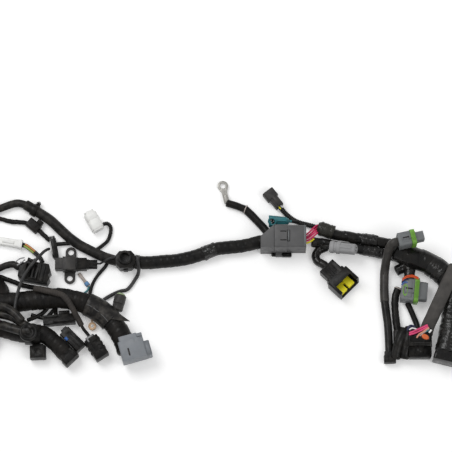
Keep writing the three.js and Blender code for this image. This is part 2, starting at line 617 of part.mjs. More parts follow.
function smallLeftPlug() {
  const group = place(-222, -95.9, 8, -88);
  const body = roundedBar(19, 15.4, 3, 2, 17);
  const rear = roundedBar(13, 12, 3, 0, 3);
  const eye = post(3, 6, 9, 9, 0, 16);
  add("small_left_plug", cut(join(body, rear), eye), BLACK_PLASTIC, group);
}
smallLeftPlug();

// Large dark grey connector with its sloped backshell, lock bar and foot
const BIG_BACK = 45;
const BIG_FRONT = 18;
const BIG_TOP = 32;
const BACKSHELL_LENGTH = 16;
const BACKSHELL_DROP = 13.6;       // how far its slope comes down towards the cable
const big = place(57.2, (BIG_BACK + BIG_FRONT) / 2, 0, 0);
function bigConnector() {
  const depth = BIG_BACK - BIG_FRONT;
  const half = depth / 2;
  const housing = roundedBar(depth, BIG_TOP - 0.4, 2, GAP, 38, 0, BIG_TOP / 2);
  const collar = roundedBar(depth + 1.6, BIG_TOP, 2.4, GAP, 15.4, 0, BIG_TOP / 2 + 0.3);
  const bay = roundedBar(depth - 6, BIG_TOP - 8, 1.5, 30, 40, 0, BIG_TOP / 2);
  const foot = box([2, -half - 4.6, 0.2], [19, -half + 1, 7]);
  const slots = [-5.4, 5.4].map((y) => box([7.4, y - 0.5, BIG_TOP - 0.8], [14.4, y + 0.5, BIG_TOP + 2]));
  const well = box([15.4, -7, BIG_TOP - 2.4], [18.8, 7, BIG_TOP + 2]);
  const bar = box([16, -6.4, BIG_TOP - 3], [18.2, 6.4, BIG_TOP + 0.8]);
  const solid = cut(join(housing, collar, foot), bay, ...slots, well);
  add("big_housing", join(solid, bar), DARK_GREY, big);
  const outline = polygon([
    [-BACKSHELL_LENGTH, half - BACKSHELL_DROP], [0, half + 0.6], [0, -half - 0.6],
    [-BACKSHELL_LENGTH, -half - 0.4],
  ]);
  const shell = plate(outline, 0.4, BIG_TOP - 1);
  const entry = inPlace(big, middleCutter);
  const bore = rod(MIDDLE_R + GAP, -20, -12, -1, 7.9, 16);
  add("big_backshell", cut(shell, entry, bore), DARK_GREY, big);
}
bigConnector();

// Teal connector behind the large one: open round mouth to the left
const tealPlug = place(75.2, 55.8, 8.2, 180);
const TEAL_TAIL_ROUTE = [ahead(tealPlug, 4), ahead(tealPlug, -4), [84, 55.8, 6], [88, 56.2, 4]];
function tealConnector() {
  const body = turned([[0, 0], [0, 3.4], [4, 5.4], [16, 6.6], [24, 7.4], [24, 0]], 20);
  const mouth = rod(5, 13, 26, 0, 0, 16);
  const pin = rod(0.9, 12, 15, 0, 0, 8);
  const crest = box([3, -2.2, 4], [18, 2.2, 8]);
  const tail = cut(tube(TEAL_TAIL_ROUTE, 1.8, 8, 2), cutter(SMALL_CABLE_ROUTE, 3, 10));
  const solid = join(cut(join(body, crest), mouth), pin, inPlace(tealPlug, tail));
  add("teal_connector", solid, TEAL, tealPlug);
}

// Ring terminal, its shrink sleeve and its cable
const RING_SLEEVE_ROUTE = [[1.6, 79.6, 4.9], [12, 76.2, 4.9], [24.2, 71.4, 4.9]];
const RING_CABLE_ROUTE = [[23, 71.8, 4.9], [31, 64, 4.9], [38, 56.4, 4.9], [45, 48.6, 5], [51, 40.4, 6.4]];
function ringTerminal() {
  const sleeve = tube(RING_SLEEVE_ROUTE, 4.3, 12, 0.6);
  const half = (BIG_BACK - BIG_FRONT) / 2;
  const slope = plate(polygon([
    [-BACKSHELL_LENGTH, half - BACKSHELL_DROP + 2 * GAP], [0, half + 0.6 + 2 * GAP], [8, half + 2],
    [8, -half], [-BACKSHELL_LENGTH, -half],
  ]), -2, 40);
  const cable = cut(tube(RING_CABLE_ROUTE, RING_CABLE_R), inWorld(big, slope));
  add("ring_cable", join(cable, sleeve), TAPE);
  const lug = place(1.2, 79.8, 4.9, 103);
  const barrel = cut(rod(3.4, 0, 9.6, 0, 0, 16), rod(2.3, 5, 11, 0, 0, 12));
  const neck = box([8, -3.2, -3.3], [15, 3.2, -1.5]);
  const palm = new THREE.Shape();
  palm.moveTo(14, -3.2);
  palm.lineTo(PALM_X - 4.6, -4.8);
  palm.absarc(PALM_X, 0, PALM_R, radians(-130), radians(130));
  palm.lineTo(PALM_X - 4.6, 4.8);
  palm.lineTo(14, 3.2);
  palm.closePath();
  const hole = new THREE.Path();
  hole.absarc(PALM_X, 0, RING_HOLE_R, 0, 2 * Math.PI);
  palm.holes.push(hole);
  const lugSolid = join(barrel, neck, plate(palm, -3.3, 1.8));
  const sleeveCut = inPlace(lug, cutter(RING_SLEEVE_ROUTE, 4.3, 12, 0.6));
  add("ring_terminal", cut(lugSolid, sleeveCut), TIN, lug);
}
ringTerminal();

// Small black two-way connector above the large one
const smallPlug = place(64.6, 74.6, 6.4, 128);
function smallConnector() {
  const body = roundedBar(10.6, 11, 1.4, 0, 17);
  const pocket = roundedBar(7.8, 7.6, 1, -1, 3);
  const spine = box([1, -1.6, 5], [13, 1.6, 6.6]);
  const hood = roundedBar(15, 12.6, 3, 13, 24);
  add("small_connector", cut(join(body, spine, hood), pocket), BLACK_PLASTIC, smallPlug);
}
smallConnector();
const SMALL_CABLE_ROUTE = [
  ahead(smallPlug, 2.6), ahead(smallPlug, -3), [72, 66, 4.6], [81, 59, 3.2], [89, 55.2, 3.2], [97, 53, 3.6],
  [106, 50, 5], [112, 47.6, 6],
];
tealConnector();

// Taped wrap where the branches meet
const wrap = place(109.6, 48.4, 8.4, -21);
function junctionWrap() {
  const body = turned([
    [0, 0], [0, 6.4], [3, 8], [12, 8.3], [18, 7.2], [20.6, 6.6], [20.6, 0],
  ], 20);
  const mouth = turned([[-1, 0], [-1, 5.6], [5, 4.6], [7, 2], [7, 0]], 16);
  const tools = [upperBundleCutter, lowerBundleCutter].map((tool) => inPlace(wrap, tool));
  add("junction_wrap", cut(body, mouth, ...tools), GLOSS_TAPE, wrap);
}
junctionWrap();
const wrapOutside = inWorld(wrap, rod(8.3 + GAP, -0.3, 21, 0, 0, 20));
const smallCutter = cutter(SMALL_CABLE_ROUTE, 3, 10);
add("small_cable", cut(tube(SMALL_CABLE_ROUTE, 3, 10), wrapOutside), TAPE);

// Bare wires between the large connector and the wrap
function wireRibbon(points, count, radius, sides = 8) {
  const last = points.length - 1;
  const strands = Array.from({ length: count }, (_, i) => {
    const offset = (i - (count - 1) / 2) * radius * 1.7;
    const beside = points.map(([x, y, z], at) => {
      const [fromX, fromY] = points[Math.max(at - 1, 0)];
      const [toX, toY] = points[Math.min(at + 1, last)];
      const run = Math.hypot(toX - fromX, toY - fromY);
      return [x - (offset * (toY - fromY)) / run, y + (offset * (toX - fromX)) / run, z];
    });
    return tube(beside, radius, sides, 2.5);
  });
  return join(...strands);
}
const RED_ROUTE = [
  [88.4, 33.4, 12], [96.4, 34.2, 13], [101, 37.6, 13], [105.6, 42.4, 11.6], [109.8, 46.8, 9.6],
  [111.6, 47.6, 9.2],
];
add("red_wires", cut(wireRibbon(RED_ROUTE, 4, 1.25), wrapOutside, smallCutter), RED);

// Light grey connector that lies on the lower bundle
const lightPlug = place(123.4, 21.6, 18.4, -9, 7);
function lightConnector() {
  const collar = turned([
    [0, 0], [0, 6.4], [2, 7.6], [5, 7.6], [5.6, 6.6], [8, 6.6], [8.6, 7.6], [12.6, 7.6], [12.6, 0],
  ], 18);
  const body = roundedBar(12.4, 12.4, 4.6, 12, 30.4, 0, 0, 3);
  const keel = box([11, -3, -7.2], [22, 3, -5]);
  const key = box([12, -1.6, 5.6], [26, 1.6, 7.2]);
  const holePlaces = [[-2.1, -2.1], [2.1, -2.1], [-2.1, 2.1], [2.1, 2.1]];
  const holes = holePlaces.map(([y, z]) => rod(0.9, 28, 32, y, z, 6));
  const tools = [lowerBundleCutter, upperBundleCutter].map((tool) => inPlace(lightPlug, tool));
  const lead = inPlace(lightPlug, tube(LIGHT_LEAD_ROUTE, 2, 8, 2));
  const solid = cut(join(collar, body, keel, key, lead), ...holes, ...tools);
  add("light_connector", solid, LIGHT_GREY, lightPlug);
}
const LIGHT_LEAD_ROUTE = [
  ahead(lightPlug, 2), ahead(lightPlug, -4), [115, 23.4, 14], [111.4, 26.4, 11], [109, 29, 7.6],
];
lightConnector();

// Black connector with yellow locks and an open mouth
const socketPlug = place(119.4, -1.4, 9.8, -45, 6);
const SOCKET_LENGTH = 39;
function socketConnector() {
  const rear = roundedBar(22, 15, 1.6, 0, 20);
  const grooves = [-8, -5, -2, 1].map((y) => box([1.5, y, 6.9], [16, y + 1.3, 9]));
  const shroud = roundedBar(31, 20, 2, 18, SOCKET_LENGTH);
  const shelf = roundedBar(26, 17, 2, 14, 19);
  const spine = box([4, 4, 6.5], [24, 9.4, 9.6]);
  const mouth = roundedBar(26, 15.6, 1.5, 25, SOCKET_LENGTH + 1);
  const window = box([SOCKET_LENGTH - 11, -11.5, 6], [SOCKET_LENGTH + 1, 11.5, 11]);
  const solid = cut(join(rear, shelf, shroud, spine), mouth, window, ...grooves);
  add("socket_connector", solid, BLACK_PLASTIC, socketPlug);
  const locks = [-6.4, 5.4].map((y) => box([25 + GAP, y - 4.4, -7], [36.6, y + 4.4, -1]));
  const bridge = box([25 + GAP, -10, -7], [28, 10, -3]);
  add("socket_lock", join(...locks, bridge), YELLOW, socketPlug);
}
socketConnector();
const SOCKET_CABLE_ROUTE = [
  [120, 24, 6.6], [114, 22.2, 5.4], [109, 18.4, 5.3], [107, 12.6, 5.4], [109.4, 6.6, 6.4],
  ahead(socketPlug, -4), ahead(socketPlug, -GAP),
];
const socketCable = tube(SOCKET_CABLE_ROUTE, 5);
const lightLeadCutter = cutter(LIGHT_LEAD_ROUTE, 2, 8, 2);
add("socket_cable", cut(socketCable, lowerBundleCutter, lightLeadCutter), GLOSS_TAPE);

// Grey connectors with a green lock band and a keyed nose
function bandedConnector(prefix, group, width, height) {
  const body = roundedBar(width, height, 3, 0, 15);
  const step = roundedBar(width - 3, height - 3, 3, 14, 21.4);
  const flats = box([4, -width / 2 + 4, height / 2 - 0.6], [12, width / 2 - 4, height / 2 + 0.7]);
  const nose = roundedBar(width - 6, height - 7, 2, 21, 31);
  const key = box([22, -width / 2 + 2, -1.6], [29, width / 2 - 2, 1.6]);
  add(`${prefix}_body`, join(body, flats, step, nose, key), MID_GREY, group);
  const band = roundedBar(width + 1.6, height + 1.6, 4, 15 + GAP, 20.6, 0, 0, 3);
  const inner = roundedBar(width - 3 + 2 * GAP, height - 3 + 2 * GAP, 3, 14, 22);
  add(`${prefix}_band`, cut(band, inner), GREEN, group);
}
const upperPlug = place(203.4, 22.6, 36.4, 13);
bandedConnector("upper_plug", upperPlug, 17, 21);
const sidePlug = place(208, -29.4, 10, -6);
bandedConnector("side_plug", sidePlug, 28, 17.6);

const ARC_OVER_ROUTE = [
  ahead(upperPlug, -GAP), ahead(upperPlug, -4), [195.8, 19.4, 34], [192.4, 13.4, 27.6],
  [190.6, 6.4, 18.6], [189.6, -0.6, 10], [188.8, -7, 5.6], [188.4, -17, 4.9], [188.2, -29, 4.9],
  [188.6, -42, 4.9], [190, -56, 4.9], [191.6, -70, 4.9], [192.4, -86, 4.9], [192.9, -105, 5],
];
const arcTube = tube(ARC_OVER_ROUTE, ARC_CABLE_R, 10);
add("arc_over_cable", join(arcTube, plainPlug(arcEnd, 14, 14, 10.4)), RUBBER);

const corner = place(221.4, -77, 10.4, -90);
const SIDE_SLEEVE_ROUTE = [
  [205, -26.6, 5.2], [202.4, -32.4, 4.9], [200.8, -40, 4.9], [201, -58, 4.9], [202, -70, 4.9],
  [203.6, -80, 5.4],
];
const sidePlugSpace = inWorld(sidePlug, box([-GAP, -15, -10], [12, 15, 10]));
const cornerSpace = inWorld(corner, box([-1.6 - GAP, -23, -11], [30, 23, 11]));
add("side_sleeve", cut(tube(SIDE_SLEEVE_ROUTE, 4.4), sidePlugSpace, cornerSpace), TAPE);
const STEM_ROUTE = [
  [215.6, -44.6, 4], [219.4, -53, 3.6], [223, -62, 3.6], [226, -70.4, 4.2], [228, -81, 6.2],
];
const sideBodySpace = inWorld(sidePlug, box([-GAP, -14 - GAP, -12], [15, 15, 12]));
const cornerBodySpace = inWorld(corner, box([2 - GAP, 0, -11], [30, 23, 12]));
add("stem_cable", cut(tube(STEM_ROUTE, 3.4, 10), sideBodySpace, cornerBodySpace), TAPE);

// Flat braided strap that comes off the right trunk
const STRAP_ROUTE = [
  [271, -6, 28.6], [267, -15, 28.8], [261.6, -26, 28.8], [255.6, -39, 28.6], [249, -53, 26.4],
  [243.4, -64.4, 21], [239, -73.4, 15.6], [236.8, -80, 13], [236, -84, 12.4],
];
function strap() {
  const path = lineThrough(STRAP_ROUTE);
  const half = 8;
  const section = new THREE.Shape();
  section.absellipse(0, 0, 3.6, half, 0, 2 * Math.PI);
  const settings = { steps: 18, extrudePath: path, bevelEnabled: false, curveSegments: 5 };
  const band = new THREE.ExtrudeGeometry(section, settings);
  add("flat_strap", cut(band, rightCutter, cornerBodySpace), BROWN_SLEEVE);
}
strap();

// Black multiway connector at the lower right with two long rounded lobes on its left
const LEFT_LOBE_ROUTE = [[210.4, -78, 11.4], [207.4, -86, 12.6], [204.4, -93, 12.2], [202.6, -99, 11.4]];
const RIGHT_LOBE_ROUTE = [[217.6, -76.4, 11.8], [216, -84, 12.8], [214.2, -92, 12.6], [212.8, -98.6, 11.8]];
function cornerConnector() {
  const body = roundedBar(28, 20, 2, 2, 23, 7);
  const base = roundedBar(20.4, 12, 2, 2, 22, -13.2, -4);
  const lobes = [LEFT_LOBE_ROUTE, RIGHT_LOBE_ROUTE].map((route) => inPlace(corner, tube(route, 6.4, 14, 0.7)));
  const deck = box([4, -4, 9], [20, 20, 11]);
  const trunkSpace = inPlace(corner, rightCutter);
  add("corner_connector", cut(join(body, base, ...lobes, deck), trunkSpace), BLACK_PLASTIC, corner);
}
cornerConnector();

// The layout's middle goes over the origin and its lowest point on z = 0
harness.updateMatrixWorld(true);
const extent = new THREE.Box3().setFromObject(harness, true);
const centre = extent.getCenter(new THREE.Vector3());
harness.position.set(-centre.x, -centre.y, -extent.min.z);

export default harness;
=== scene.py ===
# Looks of the vehicle wiring harness: camera, light, cords, connectors and their finishes.
# Metres, +Z up. Routes and places are those of the solids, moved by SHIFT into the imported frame.
import math
import bpy
import bmesh
from mathutils import Matrix, Vector, noise


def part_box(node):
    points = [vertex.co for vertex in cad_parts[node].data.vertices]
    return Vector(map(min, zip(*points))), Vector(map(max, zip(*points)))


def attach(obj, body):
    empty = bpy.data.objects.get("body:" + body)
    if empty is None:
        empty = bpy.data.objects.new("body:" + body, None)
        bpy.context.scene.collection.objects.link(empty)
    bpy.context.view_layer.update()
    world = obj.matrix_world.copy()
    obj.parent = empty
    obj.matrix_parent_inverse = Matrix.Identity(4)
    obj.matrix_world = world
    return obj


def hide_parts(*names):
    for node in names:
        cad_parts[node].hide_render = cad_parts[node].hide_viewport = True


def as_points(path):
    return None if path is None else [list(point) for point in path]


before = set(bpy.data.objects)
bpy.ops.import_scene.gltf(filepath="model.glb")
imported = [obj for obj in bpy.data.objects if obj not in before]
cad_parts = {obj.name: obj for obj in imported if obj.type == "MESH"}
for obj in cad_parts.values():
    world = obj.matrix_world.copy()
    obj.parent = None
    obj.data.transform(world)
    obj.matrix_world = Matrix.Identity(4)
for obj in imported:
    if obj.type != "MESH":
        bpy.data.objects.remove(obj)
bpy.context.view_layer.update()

# The layout's own coordinates start on the floor, at the middle of the photograph's width
CASE_LOW = Vector((-0.2034, -0.0199, 0.0002))
SHIFT = Vector(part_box("sensor_case")[0]) - CASE_LOW

# Camera: a long lens at the photograph's height above the floor
PHOTO_PIXELS = 452
METRES_PER_PIXEL = 0.0012
CAMERA_DISTANCE = 3.0
CAMERA_ELEVATION = math.radians(74)
SENSOR_MM = 36.0
AIM = Vector((0.0, 0.0524, 0.0))


def add_camera():
    data = bpy.data.cameras.new("camera")
    data.sensor_width = SENSOR_MM
    data.lens = SENSOR_MM * CAMERA_DISTANCE / (PHOTO_PIXELS * METRES_PER_PIXEL)
    data.clip_end = 20
    camera = bpy.data.objects.new("camera", data)
    aim = AIM + SHIFT
    back = Vector((0, -math.cos(CAMERA_ELEVATION), math.sin(CAMERA_ELEVATION)))
    camera.location = aim + back * CAMERA_DISTANCE
    camera.rotation_euler = (aim - camera.location).to_track_quat("-Z", "Y").to_euler()
    bpy.context.collection.objects.link(camera)
    bpy.context.scene.camera = camera


add_camera()

# Radii of the cords
MAIN_R = 0.012
LOWER_R = 0.0095
MIDDLE_R = 0.0078
RIGHT_R = 0.0125
UPPER_BUNDLE_R = 0.0064
LOWER_BUNDLE_R = 0.0058
SLEEVE_R = 0.006
TAIL_R = 0.0045
SIDE_R = 0.0026
CONDUIT_R = 0.005
RIDER_R = 0.0033
STUB_R = 0.006
RING_CABLE_R = 0.0048
ARC_OVER_R = 0.0047
LOOP_R = 0.0023
LEFT_CABLE_R = 0.004
LEFT_BRANCH_R = 0.0028
THIN_R = 0.0019
SENSOR_LEAD_R = 0.0012
DROP_R = 0.0021
ARC_R = 0.0022
RIDER_LEAD_R = 0.0018
RING_SLEEVE_R = 0.0043
SMALL_CABLE_R = 0.003
LIGHT_LEAD_R = 0.002
SOCKET_CABLE_R = 0.005
SIDE_SLEEVE_R = 0.0044
STEM_R = 0.0034
STRAP_R = 0.008


def metres(points):
    return [tuple(c / 1000 for c in point) for point in points]


# Cord routes in millimetres, the same points as the solids have
MAIN_ROUTE = metres([
    (-280, -46.4, 12), (-270, -46.4, 12), (-255, -45.8, 12), (-235, -43.4, 12), (-213.6, -41, 12),
    (-193, -40.3, 12), (-175, -44, 12), (-157, -51, 12), (-141.6, -62, 12), (-129.6, -76, 12),
    (-121.2, -91, 12), (-117, -104, 12),
])
LOWER_ROUTE = metres([
    (-280, -75, 9.6), (-273, -75.3, 9.6), (-260, -78.4, 9.5), (-244.8, -82.6, 9.5), (-228, -83.3, 9.5),
    (-214.8, -84, 9.5), (-201.6, -94, 9.5), (-188.4, -107.4, 9.6),
])
MIDDLE_ROUTE = metres([
    (-124, 5.2, 7.9), (-107, 5.2, 7.9), (-91, 4.7, 7.9), (-73, 6.2, 7.9), (-55, 8.1, 7.9),
    (-43, 10.8, 7.9), (-30, 14.9, 7.9), (-13, 21.2, 7.9), (2.4, 23.4, 7.9), (17, 24.8, 7.9),
    (29, 27.3, 7.9), (38.6, 29.8, 7.9), (44.4, 30.5, 7.9),
])
SLEEVE_ROUTE = metres([
    (-240, 76.9, 6.1), (-228, 69.5, 6.1), (-211, 58.2, 6.1), (-199, 47, 6.1), (-188.4, 37, 6.1),
    (-175, 27, 6.1), (-153.6, 15.8, 6.1), (-139, 9.5, 6.1), (-129, 7, 6.1),
])
UPPER_BUNDLE_ROUTE = metres([
    (128, 40.7, 6.5), (137, 38.7, 6.5), (149, 36.5, 6.5), (173, 32.5, 6.5), (191, 29, 6.5),
    (203, 25.5, 6.5),
])
LOWER_BUNDLE_ROUTE = metres([
    (103.5, 30.5, 5.9), (115, 29.4, 5.9), (131, 26.3, 5.9), (149, 23.4, 5.9), (173, 19.4, 5.9),
    (191, 16, 5.9), (203, 12.6, 5.9),
])
RIGHT_ROUTE = metres([
    (203.8, 18.8, 12.6), (223, 9.5, 12.6), (244, 1, 12.6), (260.6, -13.6, 12.6), (268, -36, 12.6),
    (268.6, -58.5, 12.6), (265.6, -81, 12.6), (259.4, -106, 12.6),
])
TAIL_ROUTE = metres([
    (-282, 71.4, 4.7), (-275, 71.8, 4.7), (-268, 74, 4.6), (-259, 77.5, 4.6), (-250, 79.4, 4.8),
    (-239, 76.4, 6),
])
STUB_ROUTE = metres([
    (219, 5, 9), (209.6, -1.6, 6.6), (203.6, -4.8, 6.2),
])
CONDUIT_ROUTE = metres([
    (-280, -61.4, 20.8), (-268, -61.8, 21), (-256, -64.4, 21.6), (-246, -69.4, 22.6), (-237, -75.5, 25.4),
    (-229, -80.4, 27),
])
SECOND_CONDUIT_ROUTE = metres([
    (-280, -74, 24.5), (-266, -76, 24.5), (-252, -80, 24.9), (-241, -83, 26.6), (-231, -83.4, 27.2),
])
SIDE_ROUTE = metres([
    (-280.4, 61.5, 3.4), (-271, 60.5, 2.8), (-258, 57, 2.8), (-238.8, 55, 3.2), (-228, 48.9, 3.6),
    (-218.4, 40.2, 3.8), (-211, 33.4, 4.2),
])
LOOP_ROUTE = metres([
    (-149.5, 51.2, 6.2), (-146, 53.1, 6.2), (-142, 54, 4.6), (-138.6, 51, 2.8), (-138.2, 44, 2.4),
    (-141.6, 33.4, 2.4), (-147.6, 27.6, 2.4), (-153.2, 23.2, 2.6), (-157, 20, 4),
])
FLAT_LEAD_ROUTE = metres([
    (-245.1, 27.9, 4.6), (-240.5, 27.1, 4.6), (-235.4, 23.6, 5.4), (-229, 18, 6.6), (-221.6, 10.6, 8.4),
    (-218, 3.4, 9.7),
])
LEFT_CABLE_ROUTE = metres([
    (-282, -3.8, 4.3), (-275, -3.2, 4.3), (-269, -0.8, 4.3), (-262, 2.2, 4.4), (-253, 3.4, 5),
    (-247.7, -0.2, 6.4), (-245, -0.6, 6.4),
])
LEFT_BRANCH_ROUTE = metres([
    (-280.4, -12.2, 3.2), (-271, -11.6, 3), (-257, -16.2, 3), (-242, -21.9, 3), (-228, -25, 3),
    (-214, -27.2, 3), (-203, -29.6, 3.4),
])
THIN_ROUTE = metres([
    (-211.6, 22.4, 5), (-213.6, 19.4, 12), (-217, 14, 21), (-222, 7.4, 24.6), (-231.2, -3.6, 25),
    (-239.2, -16.5, 24.6), (-244.4, -30.8, 25), (-247, -42.2, 25.8), (-248.4, -51, 26.2),
    (-248.8, -56.4, 26.4),
])
SENSOR_LEAD_ROUTE = metres([
    (-153.1, 3.6, 7.2), (-150.4, 3.6, 7.2), (-147.2, 4.6, 9.6), (-143, 6.2, 13.8), (-137.4, 8.4, 15.2),
    (-131.9, 9.2, 15),
])
TEAL_ROUTE = metres([
    (-166.4, -19.2, 2.4), (-163.1, -23.5, 2.4), (-163.8, -26, 2), (-166.4, -29.6, 2.2), (-171, -33, 3.6),
])
DROP_ROUTE = metres([
    (-140.6, 7, 3), (-144.6, 0.6, 2), (-149, -4.6, 2), (-154, -11, 2), (-158, -18, 2), (-160.6, -26, 2.2),
    (-162, -34, 4), (-162.6, -38, 6),
])
ARC_ROUTE = metres([
    (-105.6, 9.4, 18.6), (-104.8, 5, 18.8), (-104.2, 0, 17.2), (-103.8, -4.2, 12.8), (-104.1, -6.8, 7.4),
    (-105.4, -9.8, 3), (-108.6, -15, 2.2), (-112.6, -21.4, 2.2), (-118, -27.2, 2.2), (-125.4, -29, 2.2),
    (-134, -32.6, 2.2), (-142.6, -37.6, 2.2), (-149, -42.6, 3), (-153, -46, 5),
])
RIDER_ROUTE = metres([
    (-226, -31.4, 25.4), (-216, -34, 27.4), (-204, -37, 27.6), (-192, -41, 27.6), (-185.4, -48.4, 27.2),
    (-180, -57.4, 23), (-175.4, -65, 16), (-171, -72.6, 11),
])
RIDER_LEAD_ROUTE = metres([
    (-172.4, -70.4, 12), (-168, -77.6, 9.6), (-163.6, -83, 9), (-161.6, -86.1, 9),
])
TEAL_TAIL_ROUTE = metres([
    (71.2, 55.8, 8.2), (79.2, 55.8, 8.2), (84, 55.8, 6), (88, 56.2, 4),
])
RING_SLEEVE_ROUTE = metres([
    (1.6, 79.6, 4.9), (12, 76.2, 4.9), (24.2, 71.4, 4.9),
])
RING_CABLE_ROUTE = metres([
    (23, 71.8, 4.9), (31, 64, 4.9), (38, 56.4, 4.9), (45, 48.6, 5), (51, 40.4, 6.4),
])
SMALL_CABLE_ROUTE = metres([
    (63, 76.6, 6.4), (66.4, 72.2, 6.4), (72, 66, 4.6), (81, 59, 3.2), (89, 55.2, 3.2), (97, 53, 3.6),
    (106, 50, 5), (112, 47.6, 6),
])
RED_ROUTE = metres([
    (88.4, 33.4, 12), (96.4, 34.2, 13), (101, 37.6, 13), (105.6, 42.4, 11.6), (109.8, 46.8, 9.6),
    (111.6, 47.6, 9.2),
])
LIGHT_LEAD_ROUTE = metres([
    (125.4, 21.3, 18.6), (119.5, 22.2, 17.9), (115, 23.4, 14), (111.4, 26.4, 11), (109, 29, 7.6),
])
SOCKET_CABLE_ROUTE = metres([
    (120, 24, 6.6), (114, 22.2, 5.4), (109, 18.4, 5.3), (107, 12.6, 5.4), (109.4, 6.6, 6.4),
    (116.6, 1.4, 9.4), (119.2, -1.2, 9.8),
])
ARC_OVER_ROUTE = metres([
    (203.1, 22.5, 36.4), (199.5, 21.7, 36.4), (195.8, 19.4, 34), (192.4, 13.4, 27.6), (190.6, 6.4, 18.6),
    (189.6, -0.6, 10), (188.8, -7, 5.6), (188.4, -17, 4.9), (188.2, -29, 4.9), (188.6, -42, 4.9),
    (190, -56, 4.9), (191.6, -70, 4.9), (192.4, -86, 4.9), (192.9, -105, 5),
])
SIDE_SLEEVE_ROUTE = metres([
    (205, -26.6, 5.2), (202.4, -32.4, 4.9), (200.8, -40, 4.9), (201, -58, 4.9), (202, -70, 4.9),
    (203.6, -80, 5.4),
])
STEM_ROUTE = metres([
    (215.6, -44.6, 4), (219.4, -53, 3.6), (223, -62, 3.6), (226, -70.4, 4.2), (228, -81, 6.2),
])
STRAP_ROUTE = metres([
    (271, -6, 28.6), (267, -15, 28.8), (261.6, -26, 28.8), (255.6, -39, 28.6), (249, -53, 26.4),
    (243.4, -64.4, 21), (239, -73.4, 15.6), (236.8, -80, 13), (236, -84, 12.4),
])


def between(a, b, start, end, t):
    return a * ((end - t) / (end - start)) + b * ((t - start) / (end - start))


def smooth_line(points, spacing):
    """Points along a centripetal curve through the route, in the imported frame."""
    route = [Vector(p) + SHIFT for p in points]
    ends = [route[0] * 2 - route[1]] + route + [route[-1] * 2 - route[-2]]
    line = [route[0]]
    for p0, p1, p2, p3 in zip(ends, ends[1:], ends[2:], ends[3:]):
        k0 = 0.0
        k1 = k0 + max((p1 - p0).length, 1e-6) ** 0.5
        k2 = k1 + max((p2 - p1).length, 1e-6) ** 0.5
        k3 = k2 + max((p3 - p2).length, 1e-6) ** 0.5
        steps = max(2, math.ceil((p2 - p1).length / spacing))
        for i in range(1, steps + 1):
            t = k1 + (k2 - k1) * i / steps
            a1 = between(p0, p1, k0, k1, t)
            a2 = between(p1, p2, k1, k2, t)
            a3 = between(p2, p3, k2, k3, t)
            b1 = between(a1, a2, k0, k2, t)
            b2 = between(a2, a3, k1, k3, t)
            line.append(between(b1, b2, k1, k2, t))
    return line


def length_of(line):
    return sum((b - a).length for a, b in zip(line, line[1:]))


# Surface forms of a cord: metres added to its radius, at a length along it and an angle round it
def smooth_form(lumps=0.0, size=0.02):
    def form(along, angle, seed):
        return lumps * noise.noise(Vector((along / size, math.cos(angle) + seed, math.sin(angle))))
    return form


def taped_form(pitch=0.0095, ridge=0.0004, lumps=0.0006, wrinkle=0.00015):
    """Half-lapped tape: a small step at each lap edge, over the uneven bundle below it."""
    def form(along, angle, seed):
        bent = noise.noise(Vector((along / 0.03, seed, 0))) * 0.35
        phase = (along / pitch + angle / math.tau + bent) % 1.0
        coarse = Vector((math.cos(angle), math.sin(angle), along / 0.018 + seed))
        fine = Vector((3 * math.cos(angle), 3 * math.sin(angle), along / 0.003 + seed))
        return ridge * (0.5 - phase) + lumps * noise.noise(coarse) + wrinkle * noise.noise(fine)
    return form


def ribbed_form(pitch=0.0018, depth=0.00028):
    def form(along, angle, seed):
        return depth * math.sin(math.tau * along / pitch)
    return form


def stations_along(line):
    """Position, side, up and tangent at each point, turned as little as the bends allow."""
    runs = [(b - a).normalized() for a, b in zip(line, line[1:])]
    tangents = [runs[0]] + [(a + b).normalized() for a, b in zip(runs, runs[1:])] + [runs[-1]]
    up = Vector((0, 0, 1)) if abs(tangents[0].z) < 0.95 else Vector((0, 1, 0))
    stations = []
    for point, tangent in zip(line, tangents):
        up = (up - tangent * up.dot(tangent)).normalized()
        stations.append((point, tangent.cross(up), up, tangent))
    return stations


def shrunk(ring, point, share, offset):
    return [point + (p - point) * share + offset for p in ring]


def sweep(name, line, radius, form, sides=28, flat=1.0, seed=0.0, cap=0.3):
    """Closed tube along a line. flat squeezes its height and cap is how far its ends stand out."""
    stations = stations_along(line)
    along = 0.0
    rings = []
    marks = []
    for i, (point, side, up, tangent) in enumerate(stations):
        if i:
            along += (point - stations[i - 1][0]).length
        ring = []
        for k in range(sides):
            angle = math.tau * k / sides
            reach = radius + form(along, angle, seed)
            ring.append(point + side * (reach * math.cos(angle)) + up * (flat * reach * math.sin(angle)))
        rings.append(ring)
        marks.append(along)
    first = stations[0]
    last = stations[-1]
    start_out = first[3] * (-radius * cap)
    end_out = last[3] * (radius * cap)
    caps_before = [shrunk(rings[0], first[0], 0.6, start_out),
                   shrunk(rings[0], first[0], 0.9, start_out * 0.6)]
    caps_after = [shrunk(rings[-1], last[0], 0.9, end_out * 0.6), shrunk(rings[-1], last[0], 0.6, end_out)]
    rings = caps_before + rings + caps_after
    marks = [0.0, 0.0] + marks + [along, along]
    return tube_from_rings(name, rings, marks, sides)


UV_PER_METRE = 100                   # a tube's U counts centimetres along it


